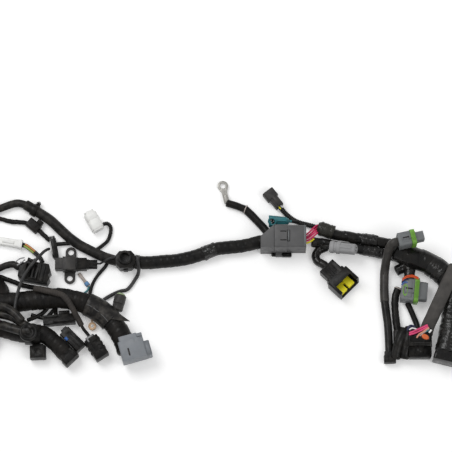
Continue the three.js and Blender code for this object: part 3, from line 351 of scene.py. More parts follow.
def tube_from_rings(name, rings, marks, sides):
    grid = bmesh.new()
    uv_layer = grid.loops.layers.uv.new("along")
    verts = [[grid.verts.new((p.x, p.y, max(p.z, 0.0))) for p in ring] for ring in rings]
    for r, (ring, after) in enumerate(zip(verts, verts[1:])):
        for k in range(sides):
            n = (k + 1) % sides
            face = grid.faces.new((ring[k], ring[n], after[n], after[k]))
            corners = ((marks[r], k), (marks[r], k + 1), (marks[r + 1], k + 1), (marks[r + 1], k))
            for loop, (u, v) in zip(face.loops, corners):
                loop[uv_layer].uv = (u * UV_PER_METRE, v / sides)
    grid.faces.new(verts[0][::-1])
    grid.faces.new(verts[-1])
    return piece_from(name, grid)


def piece_from(name, grid):
    """A smooth shaded piece of the one body, from a finished grid."""
    for face in grid.faces:
        face.smooth = True
    bmesh.ops.recalc_face_normals(grid, faces=grid.faces)
    mesh = bpy.data.meshes.new(name)
    grid.to_mesh(mesh)
    grid.free()
    piece = bpy.data.objects.new(name, mesh)
    bpy.context.collection.objects.link(piece)
    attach(piece, "root")
    return piece


# Materials
class Nodes:
    """A material's node tree with short ways to add and link what all of them use."""

    def __init__(self, name):
        self.material = bpy.data.materials.new(name)
        self.material.use_nodes = True
        self.tree = self.material.node_tree
        self.shader = self.tree.nodes["Principled BSDF"]
        self.place = self.tree.nodes.new("ShaderNodeTexCoord")

    def link(self, a, b):
        self.tree.links.new(a, b)

    def noise(self, scale, detail=4.0, stretch=None):
        node = self.tree.nodes.new("ShaderNodeTexNoise")
        node.inputs["Scale"].default_value = scale
        node.inputs["Detail"].default_value = detail
        source = self.place.outputs["Object"]
        if stretch:
            mapping = self.tree.nodes.new("ShaderNodeMapping")
            mapping.inputs["Scale"].default_value = stretch
            self.link(source, mapping.inputs["Vector"])
            source = mapping.outputs["Vector"]
        self.link(source, node.inputs["Vector"])
        return node.outputs["Fac"]

    def ramp(self, source, stops):
        node = self.tree.nodes.new("ShaderNodeValToRGB")
        bar = node.color_ramp.elements
        while len(bar) < len(stops):
            bar.new(0.5)
        for element, (position, colour) in zip(bar, stops):
            element.position = position
            element.color = (*colour, 1.0)
        self.link(source, node.inputs["Fac"])
        return node.outputs["Color"]

    def spread(self, source, low, high):
        node = self.tree.nodes.new("ShaderNodeMapRange")
        node.inputs["From Min"].default_value = 0.3
        node.inputs["From Max"].default_value = 0.7
        node.inputs["To Min"].default_value = low
        node.inputs["To Max"].default_value = high
        self.link(source, node.inputs["Value"])
        return node.outputs["Result"]

    def mix(self, factor, a, b):
        node = self.tree.nodes.new("ShaderNodeMix")
        node.data_type = "RGBA"
        self.link(factor, node.inputs["Factor"])
        for source, place in ((a, 6), (b, 7)):
            if isinstance(source, tuple):
                node.inputs[place].default_value = (*source, 1.0)
            else:
                self.link(source, node.inputs[place])
        return node.outputs[2]

    def maths(self, operation, a, b=0.0):
        node = self.tree.nodes.new("ShaderNodeMath")
        node.operation = operation
        for source, place in ((a, 0), (b, 1)):
            if isinstance(source, (int, float)):
                node.inputs[place].default_value = source
            else:
                self.link(source, node.inputs[place])
        return node.outputs[0]

    def bump(self, *layers):
        """Each layer is a height and its strength in metres; later ones lie on earlier ones."""
        normal = None
        for height, distance in layers:
            node = self.tree.nodes.new("ShaderNodeBump")
            node.inputs["Distance"].default_value = distance
            self.link(height, node.inputs["Height"])
            if normal:
                self.link(normal, node.inputs["Normal"])
            normal = node.outputs["Normal"]
        self.link(normal, self.shader.inputs["Normal"])


PALE_DUST = (0.42, 0.38, 0.33)
BROWN_DUST = (0.2, 0.165, 0.13)


def times(colour, factor):
    return tuple(min(1.0, c * factor) for c in colour)


def moulded(name, colour, rough=0.45, vary=0.18, grain=0.00004, dust=0.0, subsurface=0.0, shine=0.4):
    """Moulded plastic or rubber: clouded colour, uneven gloss, fine grain and a little dust."""
    n = Nodes(name)
    n.shader.inputs["Specular IOR Level"].default_value = shine
    clouds = n.noise(60, 5)
    base = n.ramp(clouds, [(0.3, times(colour, 1 - vary)), (0.7, times(colour, 1 + vary))])
    if dust:
        patches = n.noise(140, 6)
        mask = n.spread(patches, -dust * 0.4, dust)
        base = n.mix(mask, base, PALE_DUST)
    n.link(base, n.shader.inputs["Base Color"])
    n.link(n.spread(n.noise(220, 4), rough - 0.07, rough + 0.1), n.shader.inputs["Roughness"])
    n.bump((n.noise(2600, 2), grain), (n.noise(300, 3), grain * 1.5))
    if subsurface:
        n.shader.inputs["Subsurface Weight"].default_value = subsurface
        n.shader.inputs["Subsurface Radius"].default_value = (0.002, 0.002, 0.002)
        n.shader.inputs["Subsurface Scale"].default_value = 1.0
    return n.material


def tape(name, colour, edge, rough=0.5, lap=0.95, dust=0.25, cloth=0.00005, shine=0.16):
    """Wound tape: darker lap edges that spiral, a fine cloth or crinkle relief and brown dust."""
    n = Nodes(name)
    n.shader.inputs["Specular IOR Level"].default_value = shine
    split = n.tree.nodes.new("ShaderNodeSeparateXYZ")
    n.link(n.place.outputs["UV"], split.inputs[0])
    wander = n.noise(30, 2)
    turns = n.maths("ADD", n.maths("DIVIDE", split.outputs[0], lap), split.outputs[1])
    turns = n.maths("ADD", turns, n.maths("MULTIPLY", wander, 0.6))
    phase = n.maths("FRACT", turns)
    lapped = n.ramp(phase, [(0.0, edge), (0.07, colour), (0.9, times(colour, 1.25)), (1.0, edge)])
    dusty = n.spread(n.noise(90, 6), -dust * 0.3, dust)
    n.link(n.mix(dusty, lapped, BROWN_DUST), n.shader.inputs["Base Color"])
    n.link(n.spread(n.noise(160, 5), rough - 0.12, rough + 0.15), n.shader.inputs["Roughness"])
    weave = n.noise(900, 3, (1, 1, 3))
    n.bump((weave, cloth), (n.noise(240, 5), cloth * 3))
    return n.material


def metal(name, colour, rough=0.35):
    n = Nodes(name)
    base = n.ramp(n.noise(180, 5), [(0.3, times(colour, 0.9)), (0.7, times(colour, 1.1))])
    n.link(base, n.shader.inputs["Base Color"])
    n.shader.inputs["Metallic"].default_value = 0.6
    n.link(n.spread(n.noise(400, 4), rough - 0.08, rough + 0.15), n.shader.inputs["Roughness"])
    n.bump((n.noise(1800, 3, (1, 8, 1)), 0.000012))
    return n.material


TRUNK_TAPE = tape("trunk_tape_cloth", (0.0076, 0.0072, 0.007), (0.004, 0.0037, 0.0034), 0.42, dust=0.05)
FINE_TAPE = tape("fine_tape", (0.0076, 0.0076, 0.0076), (0.004, 0.004, 0.004), 0.38, 0.9, 0.04)
GLOSS_TAPE = tape("gloss_tape_vinyl", (0.006, 0.006, 0.006), (0.003, 0.003, 0.003), 0.22, 1.8, 0.05, 0.00005,
                  shine=0.28)
CRINKLED_TAPE = tape("crinkled_tape_vinyl", (0.007, 0.007, 0.0068), (0.004, 0.004, 0.004), 0.17, 0.6, 0.04,
                     0.00014, shine=0.4)
WRAP_TAPE = tape("wrap_tape_vinyl", (0.021, 0.021, 0.017), (0.01, 0.01, 0.008), 0.24, 0.6, 0.05, 0.00014,
                 shine=0.32)
SLEEVE_RUBBER = moulded("sleeve_rubber_skin", (0.0098, 0.0093, 0.009), 0.46, 0.25, 0.00003, 0.06, shine=0.2)
ARC_RUBBER = moulded("arc_rubber_skin", (0.036, 0.034, 0.032), 0.36, 0.2, 0.00003, 0.06, shine=0.25)
BROWN_SLEEVE = tape("brown_sleeve_braid", (0.04, 0.036, 0.0335), (0.028, 0.025, 0.023), 0.6, 0.3, 0.1, 0.0001)
STRAP_BRAID = moulded("strap_braid", (0.062, 0.058, 0.055), 0.6, 0.22, 0.00006, 0.05, shine=0.2)
CABLE_GREY = moulded("cable_grey_skin", (0.03, 0.03, 0.031), 0.36, 0.15, 0.00002, 0.04, shine=0.25)
CABLE_BLACK = moulded("cable_black_skin", (0.0075, 0.0075, 0.0075), 0.32, 0.2, 0.00002, 0.03, shine=0.22)
BLACK = moulded("black_plastic_mould", (0.0068, 0.0066, 0.0065), 0.34, 0.25, 0.00004, 0.04, shine=0.18)
BLACK_WORN = moulded("black_plastic_worn", (0.0105, 0.01, 0.0098), 0.4, 0.35, 0.00006, 0.12, shine=0.22)
HOSE_BLACK = moulded("hose_black_skin", (0.008, 0.0078, 0.0076), 0.34, 0.3, 0.00004, 0.1, shine=0.22)
DARK_GREY = moulded("dark_grey_mould", (0.034, 0.0325, 0.032), 0.45, 0.12, 0.00004, 0.05, shine=0.25)
HOUSING_GREY = moulded("housing_grey_mould", (0.096, 0.096, 0.098), 0.5, 0.08, 0.00004, 0.03)
MID_GREY = moulded("mid_grey_mould", (0.165, 0.175, 0.18), 0.42, 0.08, 0.00003, 0.03)
LIGHT_GREY = moulded("light_grey_mould", (0.31, 0.31, 0.315), 0.45, 0.08, 0.00003, 0.03)
BLUE_GREY = moulded("blue_grey_mould", (0.21, 0.225, 0.245), 0.45, 0.1, 0.00003, 0.04)
WHITE = moulded("white_mould", (0.86, 0.86, 0.84), 0.35, 0.04, 0.00002, 0.02, 0.2)
GREEN = moulded("green_mould", (0.17, 0.38, 0.05), 0.4, 0.12, 0.00003)
PALE_GREEN = moulded("pale_green_mould", (0.33, 0.42, 0.24), 0.5, 0.1, 0.00003)
TEAL = moulded("teal_mould", (0.025, 0.17, 0.195), 0.4, 0.2, 0.00003, 0.05)
YELLOW = moulded("yellow_mould", (0.9, 0.8, 0.02), 0.4, 0.08, 0.00003)
RED = moulded("red_wire_skin", (0.62, 0.03, 0.12), 0.35, 0.2, 0.00002)
ORANGE = moulded("orange_rubber", (0.62, 0.13, 0.035), 0.45, 0.15, 0.00003)
PEACH = moulded("peach_rubber", (0.72, 0.5, 0.32), 0.45, 0.12, 0.00003)
BLUE = moulded("blue_mould", (0.05, 0.14, 0.42), 0.4, 0.15, 0.00003)
PALE_BLUE = moulded("pale_blue_mould", (0.13, 0.28, 0.5), 0.4, 0.15, 0.00003)
BEIGE = moulded("beige_tube", (0.42, 0.37, 0.34), 0.35, 0.12, 0.00003)
PINK = moulded("pink_wire_skin", (0.72, 0.07, 0.2), 0.35, 0.15, 0.00002)
SALMON = moulded("salmon_wire_skin", (0.68, 0.3, 0.2), 0.4, 0.12, 0.00002)
NAVY = moulded("navy_wire_skin", (0.018, 0.018, 0.06), 0.35, 0.2, 0.00002)
LIME = moulded("lime_wire_skin", (0.3, 0.4, 0.08), 0.4, 0.1, 0.00002)
AMBER = moulded("amber_wire_skin", (0.6, 0.25, 0.08), 0.4, 0.1, 0.00002)
FLAME = moulded("flame_wire_skin", (0.65, 0.09, 0.02), 0.4, 0.1, 0.00002)
TIN = metal("tin_plate", (0.4, 0.39, 0.365), 0.46)


def finish_with(piece, material, slot):
    piece.data.materials.clear()
    piece.data.materials.append(material)


# Connectors keep their solids, with moulded edges and a finish
WELD_GAP = 0.00001
ROUNDED_FROM = math.radians(35)      # only edges that turn more than this are rounded


def dress(node, material, edge=0.0004, steps=2):
    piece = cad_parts[node]
    if not piece.data.materials:
        piece.data.materials.append(None)
    for slot in piece.material_slots:
        slot.link = "OBJECT"
        slot.material = material
    weld = piece.modifiers.new("weld", "WELD")
    weld.merge_threshold = WELD_GAP
    bevel = piece.modifiers.new("edges", "BEVEL")
    bevel.width = edge
    bevel.segments = steps
    bevel.limit_method = "ANGLE"
    bevel.angle_limit = ROUNDED_FROM
    bevel.harden_normals = True
    bevel.use_clamp_overlap = True
    piece.data.shade_smooth()


def dress_all():
    for node in ("tree_clip", "tee_clip", "block_connector", "sensor_cover", "tie_mount", "long_bracket",
                 "long_connector", "socket_connector", "corner_connector", "small_left_plug",
                 "main_left_plug", "trunk_clip", "lower_connector"):
        dress(node, BLACK)
    for node in ("big_housing", "big_backshell"):
        dress(node, HOUSING_GREY, 0.0006)
    for node in ("sensor_case", "round_plug_shell", "small_connector"):
        dress(node, DARK_GREY)
    for prefix in ("upper_plug", "side_plug"):
        dress(prefix + "_body", MID_GREY, 0.0005)
        dress(prefix + "_band", GREEN, 0.0006)
    dress("light_connector", LIGHT_GREY)
    dress("grey_connector", BLUE_GREY)
    dress("capsule_plug", WHITE, 0.0008)
    dress("white_flat_plug", WHITE)
    dress("round_plug_seal", PALE_GREEN)
    dress("teal_connector", TEAL)
    dress("socket_lock", YELLOW)
    dress("ring_seal", PEACH)
    dress("ring_terminal", TIN, 0.0003)
    dress("crimp_terminal", BEIGE, 0.0003)
    dress("split_sleeve", BLACK_WORN, 0.0003)
    for node in ("top_branch", "left_cable", "arc_over_cable"):
        dress(node, SLEEVE_RUBBER)
    for node in ("lower_trunk", "side_branch", "left_branch"):
        dress(node, TRUNK_TAPE)
    dress("right_trunk", GLOSS_TAPE)
    dress("rider_branch", BROWN_SLEEVE)
    dress("junction_wrap", WRAP_TAPE, 0.0008)
    dress("flat_leads", CABLE_BLACK, 0.0002, 1)


dress_all()


# Cords
def cord(name, route, radius, material, slot, form, nodes=(),
         sides=28, spacing=0.001, flat=1.0, seed=0.0, free=True):
    """A cord over or in place of its solid. For free ones the start, length and points of its line are worked
    out, and nothing keeps them.
    """
    line = smooth_line(route, spacing)
    piece = sweep(name, line, radius, form, sides, flat, seed)
    finish_with(piece, material, slot)
    if nodes:
        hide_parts(*nodes)
    if free:
        tuple(line[0])
        length_of(line)
        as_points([tuple(p) for p in line[::4]] + [tuple(line[-1])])


OVER = 0.00015                       # how far a cord stands over a solid that stays shown below it
TRUNK_FORM = taped_form(0.0095, 0.0006, 0.0008, 0.0002)
FINE_FORM = taped_form(0.008, 0.0004, 0.0004, 0.0001)
GLOSS_FORM = taped_form(0.019, 0.0007, 0.0008, 0.00016)
CRINKLED_FORM = taped_form(0.008, 0.0007, 0.0011, 0.0006)
SLEEVE_FORM = smooth_form(0.0003)

cord("main_trunk_tape", MAIN_ROUTE, MAIN_R, TRUNK_TAPE, "trunk_tape", TRUNK_FORM, ["main_trunk"],
     sides=48, seed=1)
cord("lower_trunk_tape", LOWER_ROUTE, LOWER_R + OVER * 3, TRUNK_TAPE, "trunk_tape", TRUNK_FORM,
     sides=40, free=False, seed=2)
cord("middle_trunk_tape", MIDDLE_ROUTE, MIDDLE_R, FINE_TAPE, "trunk_tape", FINE_FORM, ["middle_trunk"],
     sides=40, seed=3)
cord("right_trunk_tape", RIGHT_ROUTE, RIGHT_R + OVER * 4, GLOSS_TAPE, "gloss_tape", GLOSS_FORM,
     sides=56, free=False, seed=4)
cord("stub_tape", STUB_ROUTE, STUB_R + OVER, GLOSS_TAPE, "gloss_tape", FINE_FORM, free=False, seed=5)
cord("upper_bundle_tape", UPPER_BUNDLE_ROUTE, UPPER_BUNDLE_R, GLOSS_TAPE, "gloss_tape", GLOSS_FORM,
     ["upper_bundle"], sides=36, free=False, seed=6)
cord("lower_bundle_tape", LOWER_BUNDLE_ROUTE, LOWER_BUNDLE_R, GLOSS_TAPE, "gloss_tape", GLOSS_FORM,
     ["lower_bundle"], sides=36, seed=7)
cord("top_sleeve", SLEEVE_ROUTE, SLEEVE_R + OVER, SLEEVE_RUBBER, "sleeve_rubber", SLEEVE_FORM,
     sides=32, seed=8)
cord("top_tail", TAIL_ROUTE, TAIL_R + OVER, SLEEVE_RUBBER, "sleeve_rubber", SLEEVE_FORM,
     free=False, seed=9)
HOSE_FORM = smooth_form(0.0005, 0.012)
cord("conduit", CONDUIT_ROUTE, CONDUIT_R, HOSE_BLACK, "dark_grey_plastic", HOSE_FORM, ["left_conduit"],
     free=False, seed=10)
cord("second_conduit", SECOND_CONDUIT_ROUTE, CONDUIT_R, HOSE_BLACK, "dark_grey_plastic", HOSE_FORM,
     free=False, seed=10.5)
cord("side_branch_tape", SIDE_ROUTE, SIDE_R + OVER, FINE_TAPE, "trunk_tape", FINE_FORM,
     sides=20, seed=11)
cord("loop_lead_ribs", LOOP_ROUTE, LOOP_R, CABLE_BLACK, "trunk_tape", ribbed_form(), ["loop_lead"],
     sides=20, spacing=0.0003, seed=12)
cord("left_cable_skin", LEFT_CABLE_ROUTE, LEFT_CABLE_R + OVER, SLEEVE_RUBBER, "sleeve_rubber", SLEEVE_FORM,
     sides=24, free=False, seed=13)
cord("left_branch_tape", LEFT_BRANCH_ROUTE, LEFT_BRANCH_R + OVER, FINE_TAPE, "trunk_tape", FINE_FORM,
     sides=20, seed=14)
cord("thin_cable_skin", THIN_ROUTE, THIN_R, CABLE_GREY, "dark_grey_plastic", SLEEVE_FORM, ["thin_cable"],
     sides=16, seed=15)
cord("sensor_lead_skin", SENSOR_LEAD_ROUTE, SENSOR_LEAD_R, CABLE_GREY, "dark_grey_plastic", smooth_form(),
     ["sensor_lead"], sides=14, free=False, seed=16)
cord("drop_branch_tape", DROP_ROUTE, DROP_R, FINE_TAPE, "trunk_tape", smooth_form(0.0002), ["drop_branch"],
     sides=16, seed=17)
cord("arc_cable_skin", ARC_ROUTE, ARC_R, CABLE_GREY, "dark_grey_plastic", smooth_form(), ["arc_cable"],
     sides=18, seed=18)
cord("rider_sleeve", RIDER_ROUTE, RIDER_R + OVER, BROWN_SLEEVE, "brown_sleeve", smooth_form(0.0004, 0.01),
     sides=24, seed=19)
cord("rider_lead_skin", RIDER_LEAD_ROUTE, RIDER_LEAD_R + OVER, CABLE_BLACK, "black_plastic", smooth_form(),
     sides=14, free=False, seed=20)
cord("ring_shrink_sleeve", RING_SLEEVE_ROUTE, RING_SLEEVE_R + OVER, FINE_TAPE, "trunk_tape",
     smooth_form(0.0004, 0.008), free=False, seed=21)
cord("ring_cable_tape", RING_CABLE_ROUTE, RING_CABLE_R, FINE_TAPE, "trunk_tape", smooth_form(0.0003),
     ["ring_cable"], free=False, seed=22)
cord("small_cable_ribs", SMALL_CABLE_ROUTE, SMALL_CABLE_R, CABLE_BLACK, "trunk_tape",
     ribbed_form(0.0022, 0.0003), ["small_cable"], sides=24, spacing=0.0004, seed=23)
cord("light_lead_skin", LIGHT_LEAD_ROUTE, LIGHT_LEAD_R + OVER, CABLE_BLACK, "gloss_tape", smooth_form(),
     sides=16, free=False, seed=24)
cord("socket_cable_tape", SOCKET_CABLE_ROUTE, SOCKET_CABLE_R, GLOSS_TAPE, "gloss_tape", FINE_FORM,
     ["socket_cable"], free=False, seed=25)
BARE_FROM = 9                        # the arc's rubber sleeve ends at this point of its route
cord("arc_over_skin", ARC_OVER_ROUTE, ARC_OVER_R + OVER, CABLE_BLACK, "sleeve_rubber", smooth_form(0.0001),
     sides=32, seed=26)
cord("arc_over_sleeve", ARC_OVER_ROUTE[:BARE_FROM + 1], ARC_OVER_R + OVER * 4, ARC_RUBBER, "sleeve_rubber",
     SLEEVE_FORM, sides=32, free=False, seed=26.5)
cord("side_sleeve_tape", SIDE_SLEEVE_ROUTE, SIDE_SLEEVE_R, FINE_TAPE, "trunk_tape", FINE_FORM,
     ["side_sleeve"], sides=24, free=False, seed=27)
cord("stem_cable_skin", STEM_ROUTE, STEM_R, FINE_TAPE, "trunk_tape", SLEEVE_FORM, ["stem_cable"],
     sides=20, free=False, seed=28)
cord("flat_strap_braid", STRAP_ROUTE, STRAP_R, STRAP_BRAID, "brown_sleeve", smooth_form(0.0003),
     ["flat_strap"], sides=32, flat=0.46, free=False, seed=29)


# Small pieces that the solids don't carry: bare wires, seals, rims and locks
def place(x, y, z, heading, pitch=0.0):
    """A piece's own frame: +X from its cable entry to its far end, as its solid has it."""
    turn = Matrix.Rotation(math.radians(heading), 4, "Z") @ Matrix.Rotation(math.radians(-pitch), 4, "Y")
    return Matrix.Translation(Vector((x, y, z)) + SHIFT) @ turn


UPRIGHT = Matrix.Rotation(math.radians(-90), 4, "Y")   # turns a frame's +X axis up
ZERO_ROW = 268                       # the photograph's row at which the layout's own y is zero


def spot(px, py, height):
    """The point at a height above the floor that the photograph shows at a pixel."""
    east = METRES_PER_PIXEL * (px - PHOTO_PIXELS / 2)
    lifted = METRES_PER_PIXEL * (ZERO_ROW - py) - math.cos(CAMERA_ELEVATION) * height
    return east, lifted / math.sin(CAMERA_ELEVATION), height


SHARP = 0.0001                       # edge radius of a fine mark


def block(name, frame_of, low, high, material, slot, edge=0.0003):
    """Moulded block with rounded edges between two corners of a frame."""
    grid = bmesh.new()
    size = Vector(high) - Vector(low)
    middle = (Vector(high) + Vector(low)) / 2
    bmesh.ops.create_cube(grid, size=1.0, matrix=Matrix.Translation(middle) @ Matrix.Diagonal((*size, 1)))
    bmesh.ops.bevel(grid, geom=grid.edges[:], offset=edge, segments=2, affect="EDGES")
    bmesh.ops.transform(grid, matrix=frame_of, verts=grid.verts)
    finish_with(piece_from(name, grid), material, slot)


def groove(name, frame_of, low, high):
    """Dark mark with sharp edges. Over a slot or a well its black is painted shade of the recess; over a seam
    it is the dark joint.
    """
    block(name, frame_of, low, high, CABLE_BLACK, "black_plastic", SHARP)


def turned(name, frame_of, profile, material, slot, sides=32, stretch=(1, 1, 1)):
    """Closed piece turned round a frame's +X axis; the profile is a loop of (x, radius) pairs."""
    grid = bmesh.new()
    rings = []
    for k in range(sides):
        angle = math.tau * k / sides
        ring = []
        for x, r in profile:
            corner = Vector((x, r * math.cos(angle), r * math.sin(angle))) * Vector(stretch)
            ring.append(grid.verts.new(frame_of @ corner))
        rings.append(ring)
    count = len(profile)
    for k in range(sides):
        a, b = rings[k], rings[(k + 1) % sides]
        for i in range(count):
            j = (i + 1) % count
            grid.faces.new((a[i], a[j], b[j], b[i]))
    finish_with(piece_from(name, grid), material, slot)


def ring_profile(radius, thick, sides=10):
    steps = [math.tau * i / sides for i in range(sides)]
    return [(thick * math.cos(a), radius + thick * math.sin(a)) for a in steps]


def dome_profile(radius, height):
    """Low dome with a flat base: the loop's ends stay just off the axis."""
    return [(0, 0.00001), (0, radius), (height * 0.6, radius * 0.9), (height * 0.92, radius * 0.55),
            (height, 0.00001)]


WIRE_STEP = 0.0008                   # spacing of the points along a wire or a turn of tape


def wire(name, points, radius, material, slot, sides=12):
    line = smooth_line(points, WIRE_STEP)
    piece = sweep(name, line, radius, smooth_form(0.00004, 0.006), sides, cap=0.5)
    finish_with(piece, material, slot)
    return piece


def over(top, pixels):
    """Points from (column, row, lift) triples: pixels of the photograph and lifts over a top."""
    return [spot(px, py, top + lift) for px, py, lift in pixels]


PATCH_RISE = 0.0006                  # how far a loose turn of tape stands over the wrapping
PATCH_SIDES = 48
PATCH_CAP = 0.02


def tape_patches():
    """Crinkled turns of tape over the smoother wrapping, and the wrap where the branches meet."""
    patches = [
        ("middle_patch", [(-0.0275, 0.0158, 0.0079), (-0.02, 0.0188, 0.0079), (-0.0125, 0.0213, 0.0079)],
         MIDDLE_R),
        ("middle_end_patch", [(-0.108, 0.0052, 0.0079), (-0.103, 0.0051, 0.0079)], MIDDLE_R),
        ("bundle_patch", [(0.162, 0.0343, 0.0065), (0.173, 0.0325, 0.0065), (0.181, 0.0309, 0.0065)],
         UPPER_BUNDLE_R),
        ("lower_bundle_patch", [(0.164, 0.0209, 0.0059), (0.173, 0.0194, 0.0059), (0.187, 0.0167, 0.0059)],
         LOWER_BUNDLE_R),
        ("trunk_patch", [(0.243, 0.0015, 0.0126), (0.2515, -0.0045, 0.0126), (0.2587, -0.0112, 0.0126)],
         RIGHT_R + 0.0004),
        ("right_end_patch", RIGHT_ROUTE[4:], RIGHT_R + 0.0007),
    ]
    for i, (name, route, radius) in enumerate(patches):
        line = smooth_line(route, WIRE_STEP)
        piece = sweep(name, line, radius + PATCH_RISE, CRINKLED_FORM, PATCH_SIDES, seed=40 + i,
                      cap=PATCH_CAP)
        finish_with(piece, CRINKLED_TAPE, "gloss_tape")
    frame_of = place(0.1096, 0.0484, 0.0084, -21)
    line = [frame_of @ Vector((0.0035 + 0.0006 * i, 0, 0)) for i in range(29)]
    piece = sweep("wrap_turns", line, 0.0083, CRINKLED_FORM, PATCH_SIDES, seed=50, cap=PATCH_CAP)
    finish_with(piece, WRAP_TAPE, "gloss_tape")
    column = [(0.2194, 0.0085, 0.0085), (0.219, 0.0017, 0.0074), (0.2184, -0.0072, 0.0078),
              (0.218, -0.0142, 0.0088)]
    piece = sweep("plug_branch_tape", smooth_line(column, WIRE_STEP), 0.0064, CRINKLED_FORM, 40, seed=51)
    finish_with(piece, CRINKLED_TAPE, "gloss_tape")


def corner_details():
    """Bare wires and the round seal over the rear of the corner connector."""
    frame_of = place(0.2214, -0.077, 0.0104, -90)
    block("corner_shroud", frame_of, (0.0226, -0.0062, -0.01), (0.0352, 0.0204, 0.0092),
          BLACK, "black_plastic", 0.0012)
    block("corner_shroud_step", frame_of, (0.0226, 0.0005, 0.0085), (0.034, 0.0115, 0.0106),
          BLACK, "black_plastic", 0.0006)
    left_lobe = [(0.2036, -0.096, 0.0118), (0.2016, -0.1035, 0.0104), (0.2002, -0.1105, 0.0086)]
    right_lobe = [(0.2134, -0.096, 0.0122), (0.2118, -0.1035, 0.0112), (0.2106, -0.1105, 0.0096)]
    wire("left_lobe_end", left_lobe, 0.0062, BLACK, "black_plastic", 28)
    wire("right_lobe_end", right_lobe, 0.0062, BLACK, "black_plastic", 28)
    block("corner_well", frame_of, (0.0035, -0.0045, 0.0095), (0.0185, 0.0195, 0.0113),
          CABLE_BLACK, "black_plastic")
    groove("corner_seam_left", frame_of, (0.0185, -0.0012, 0.0095), (0.0228, -0.0006, 0.0111))
    groove("corner_seam_right", frame_of, (0.0185, 0.0122, 0.0095), (0.0228, 0.0128, 0.0111))
    top = 0.0228
    leads = [
        ("pink_wire_upper", 0.0012, PINK, "red_wire",
         [(406.0, 330.7, 0), (410.6, 328.9, 0.0006), (417.0, 326.1, 0.0008), (423.4, 323.3, 0)]),
        ("pink_wire_lower", 0.0011, PINK, "red_wire",
         [(405.8, 332.5, 0), (411.6, 330.8, 0), (418.0, 327.9, 0.0002), (424.0, 324.9, 0)]),
        ("salmon_wire", 0.001, SALMON, "orange_seal",
         [(413.0, 335.3, -0.0004), (415.2, 332.3, 0), (419.2, 329.7, 0), (424.8, 325.9, 0)]),
        ("cream_wire", 0.0007, BEIGE, "white_plastic",
         [(416.0, 333.7, 0), (419.0, 331.1, 0), (422.4, 328.9, 0), (425.2, 326.9, 0)]),
        ("navy_wire", 0.0015, NAVY, "black_plastic",
         [(404.2, 328.3, -0.0008), (405.0, 325.5, 0), (407.2, 323.9, 0), (411.0, 324.9, 0)]),
        ("white_wire_left", 0.0009, WHITE, "white_plastic",
         [(406.0, 327.5, 0), (408.6, 326.1, 0.0008), (412.6, 327.1, 0.0004)]),
        ("teal_wire_right", 0.0009, TEAL, "teal_plastic", [(422.2, 329.5, 0), (424.4, 328.1, 0.0006)]),
        ("white_wire_right", 0.0012, WHITE, "white_plastic", [(425.2, 330.3, 0), (427.2, 328.1, 0)]),
    ]
    for name, radius, material, slot, pixels in leads:
        wire(name, over(top, pixels), radius, material, slot)
    x, y, z = spot(421.2, 334.6, top - 0.0006)
    seal = place(x, y, z, -28) @ UPRIGHT
    oval = (1, 0.78, 1.2)
    turned("corner_seal_lip", seal, ring_profile(0.0046, 0.0009), CABLE_BLACK, "black_plastic", stretch=oval)
    turned("corner_seal", seal, dome_profile(0.0042, 0.0013), ORANGE, "orange_seal", stretch=oval)


def plug_details():
    """Lock ribs, gasket and wires of the two keyed grey plugs."""
    side = place(0.208, -0.0294, 0.01, -6)
    top = 0.0195
    leads = [
        ("side_arc_upper", 0.0008, FLAME, "orange_seal",
         [(400.4, 278.4, 0), (404, 275.6, 0.0008), (410, 274.8, 0.0008), (416, 277, 0)]),
        ("side_arc_lower", 0.0008, FLAME, "orange_seal",
         [(400.4, 279.8, 0), (404, 277, 0.0008), (410, 276.2, 0.0008), (416, 278.4, 0)]),
        ("side_violet_wire", 0.0009, NAVY, "blue_sleeve",
         [(399.6, 281.6, -0.001), (402, 279, 0.0004), (405.6, 278.6, 0)]),
        ("side_blue_wire", 0.0008, BLUE, "blue_sleeve",
         [(399.4, 284, -0.001), (402, 281.4, 0.0002), (405, 281.6, 0)]),
    ]
    for name, radius, material, slot, pixels in leads:
        wire(name, over(top, pixels), radius, material, slot)
    turned("side_gasket", side @ Matrix.Translation((0.0046, -0.002, 0.0091)) @ UPRIGHT,
           ring_profile(0.0046, 0.0008), GREEN, "green_plastic", stretch=(1, 1.35, 0.55))
    turned("side_sleeve_end", place(0.2048, -0.0272, 0.0052, 65), ring_profile(0.0046, 0.0007),
           BEIGE, "white_plastic")
    for prefix, frame_of, half, high in (("side", side, 0.0106, 0.0094),
                                         ("upper", place(0.2034, 0.0226, 0.0364, 13), 0.005, 0.0111)):
        for i in range(4):
            x = 0.0159 + 0.0012 * i
            block(f"{prefix}_band_rib_{i}", frame_of, (x, -half, high), (x + 0.0005, half, high + 0.0006),
                  GREEN, "green_plastic", SHARP)
        block(prefix + "_top_rail", frame_of, (0.004, -half * 0.5, high - 0.001),
              (0.0145, -half * 0.5 + 0.0012, high + 0.0006), MID_GREY, "mid_grey_plastic")
        # The top slot is a dark grey block on the grey body: painted shade of the slot's recess.
        block(prefix + "_top_slot_shade", frame_of, (0.005, -0.0004, high - 0.001), (0.013, 0.0014, high + 0.0004),
              DARK_GREY, "dark_grey_plastic")


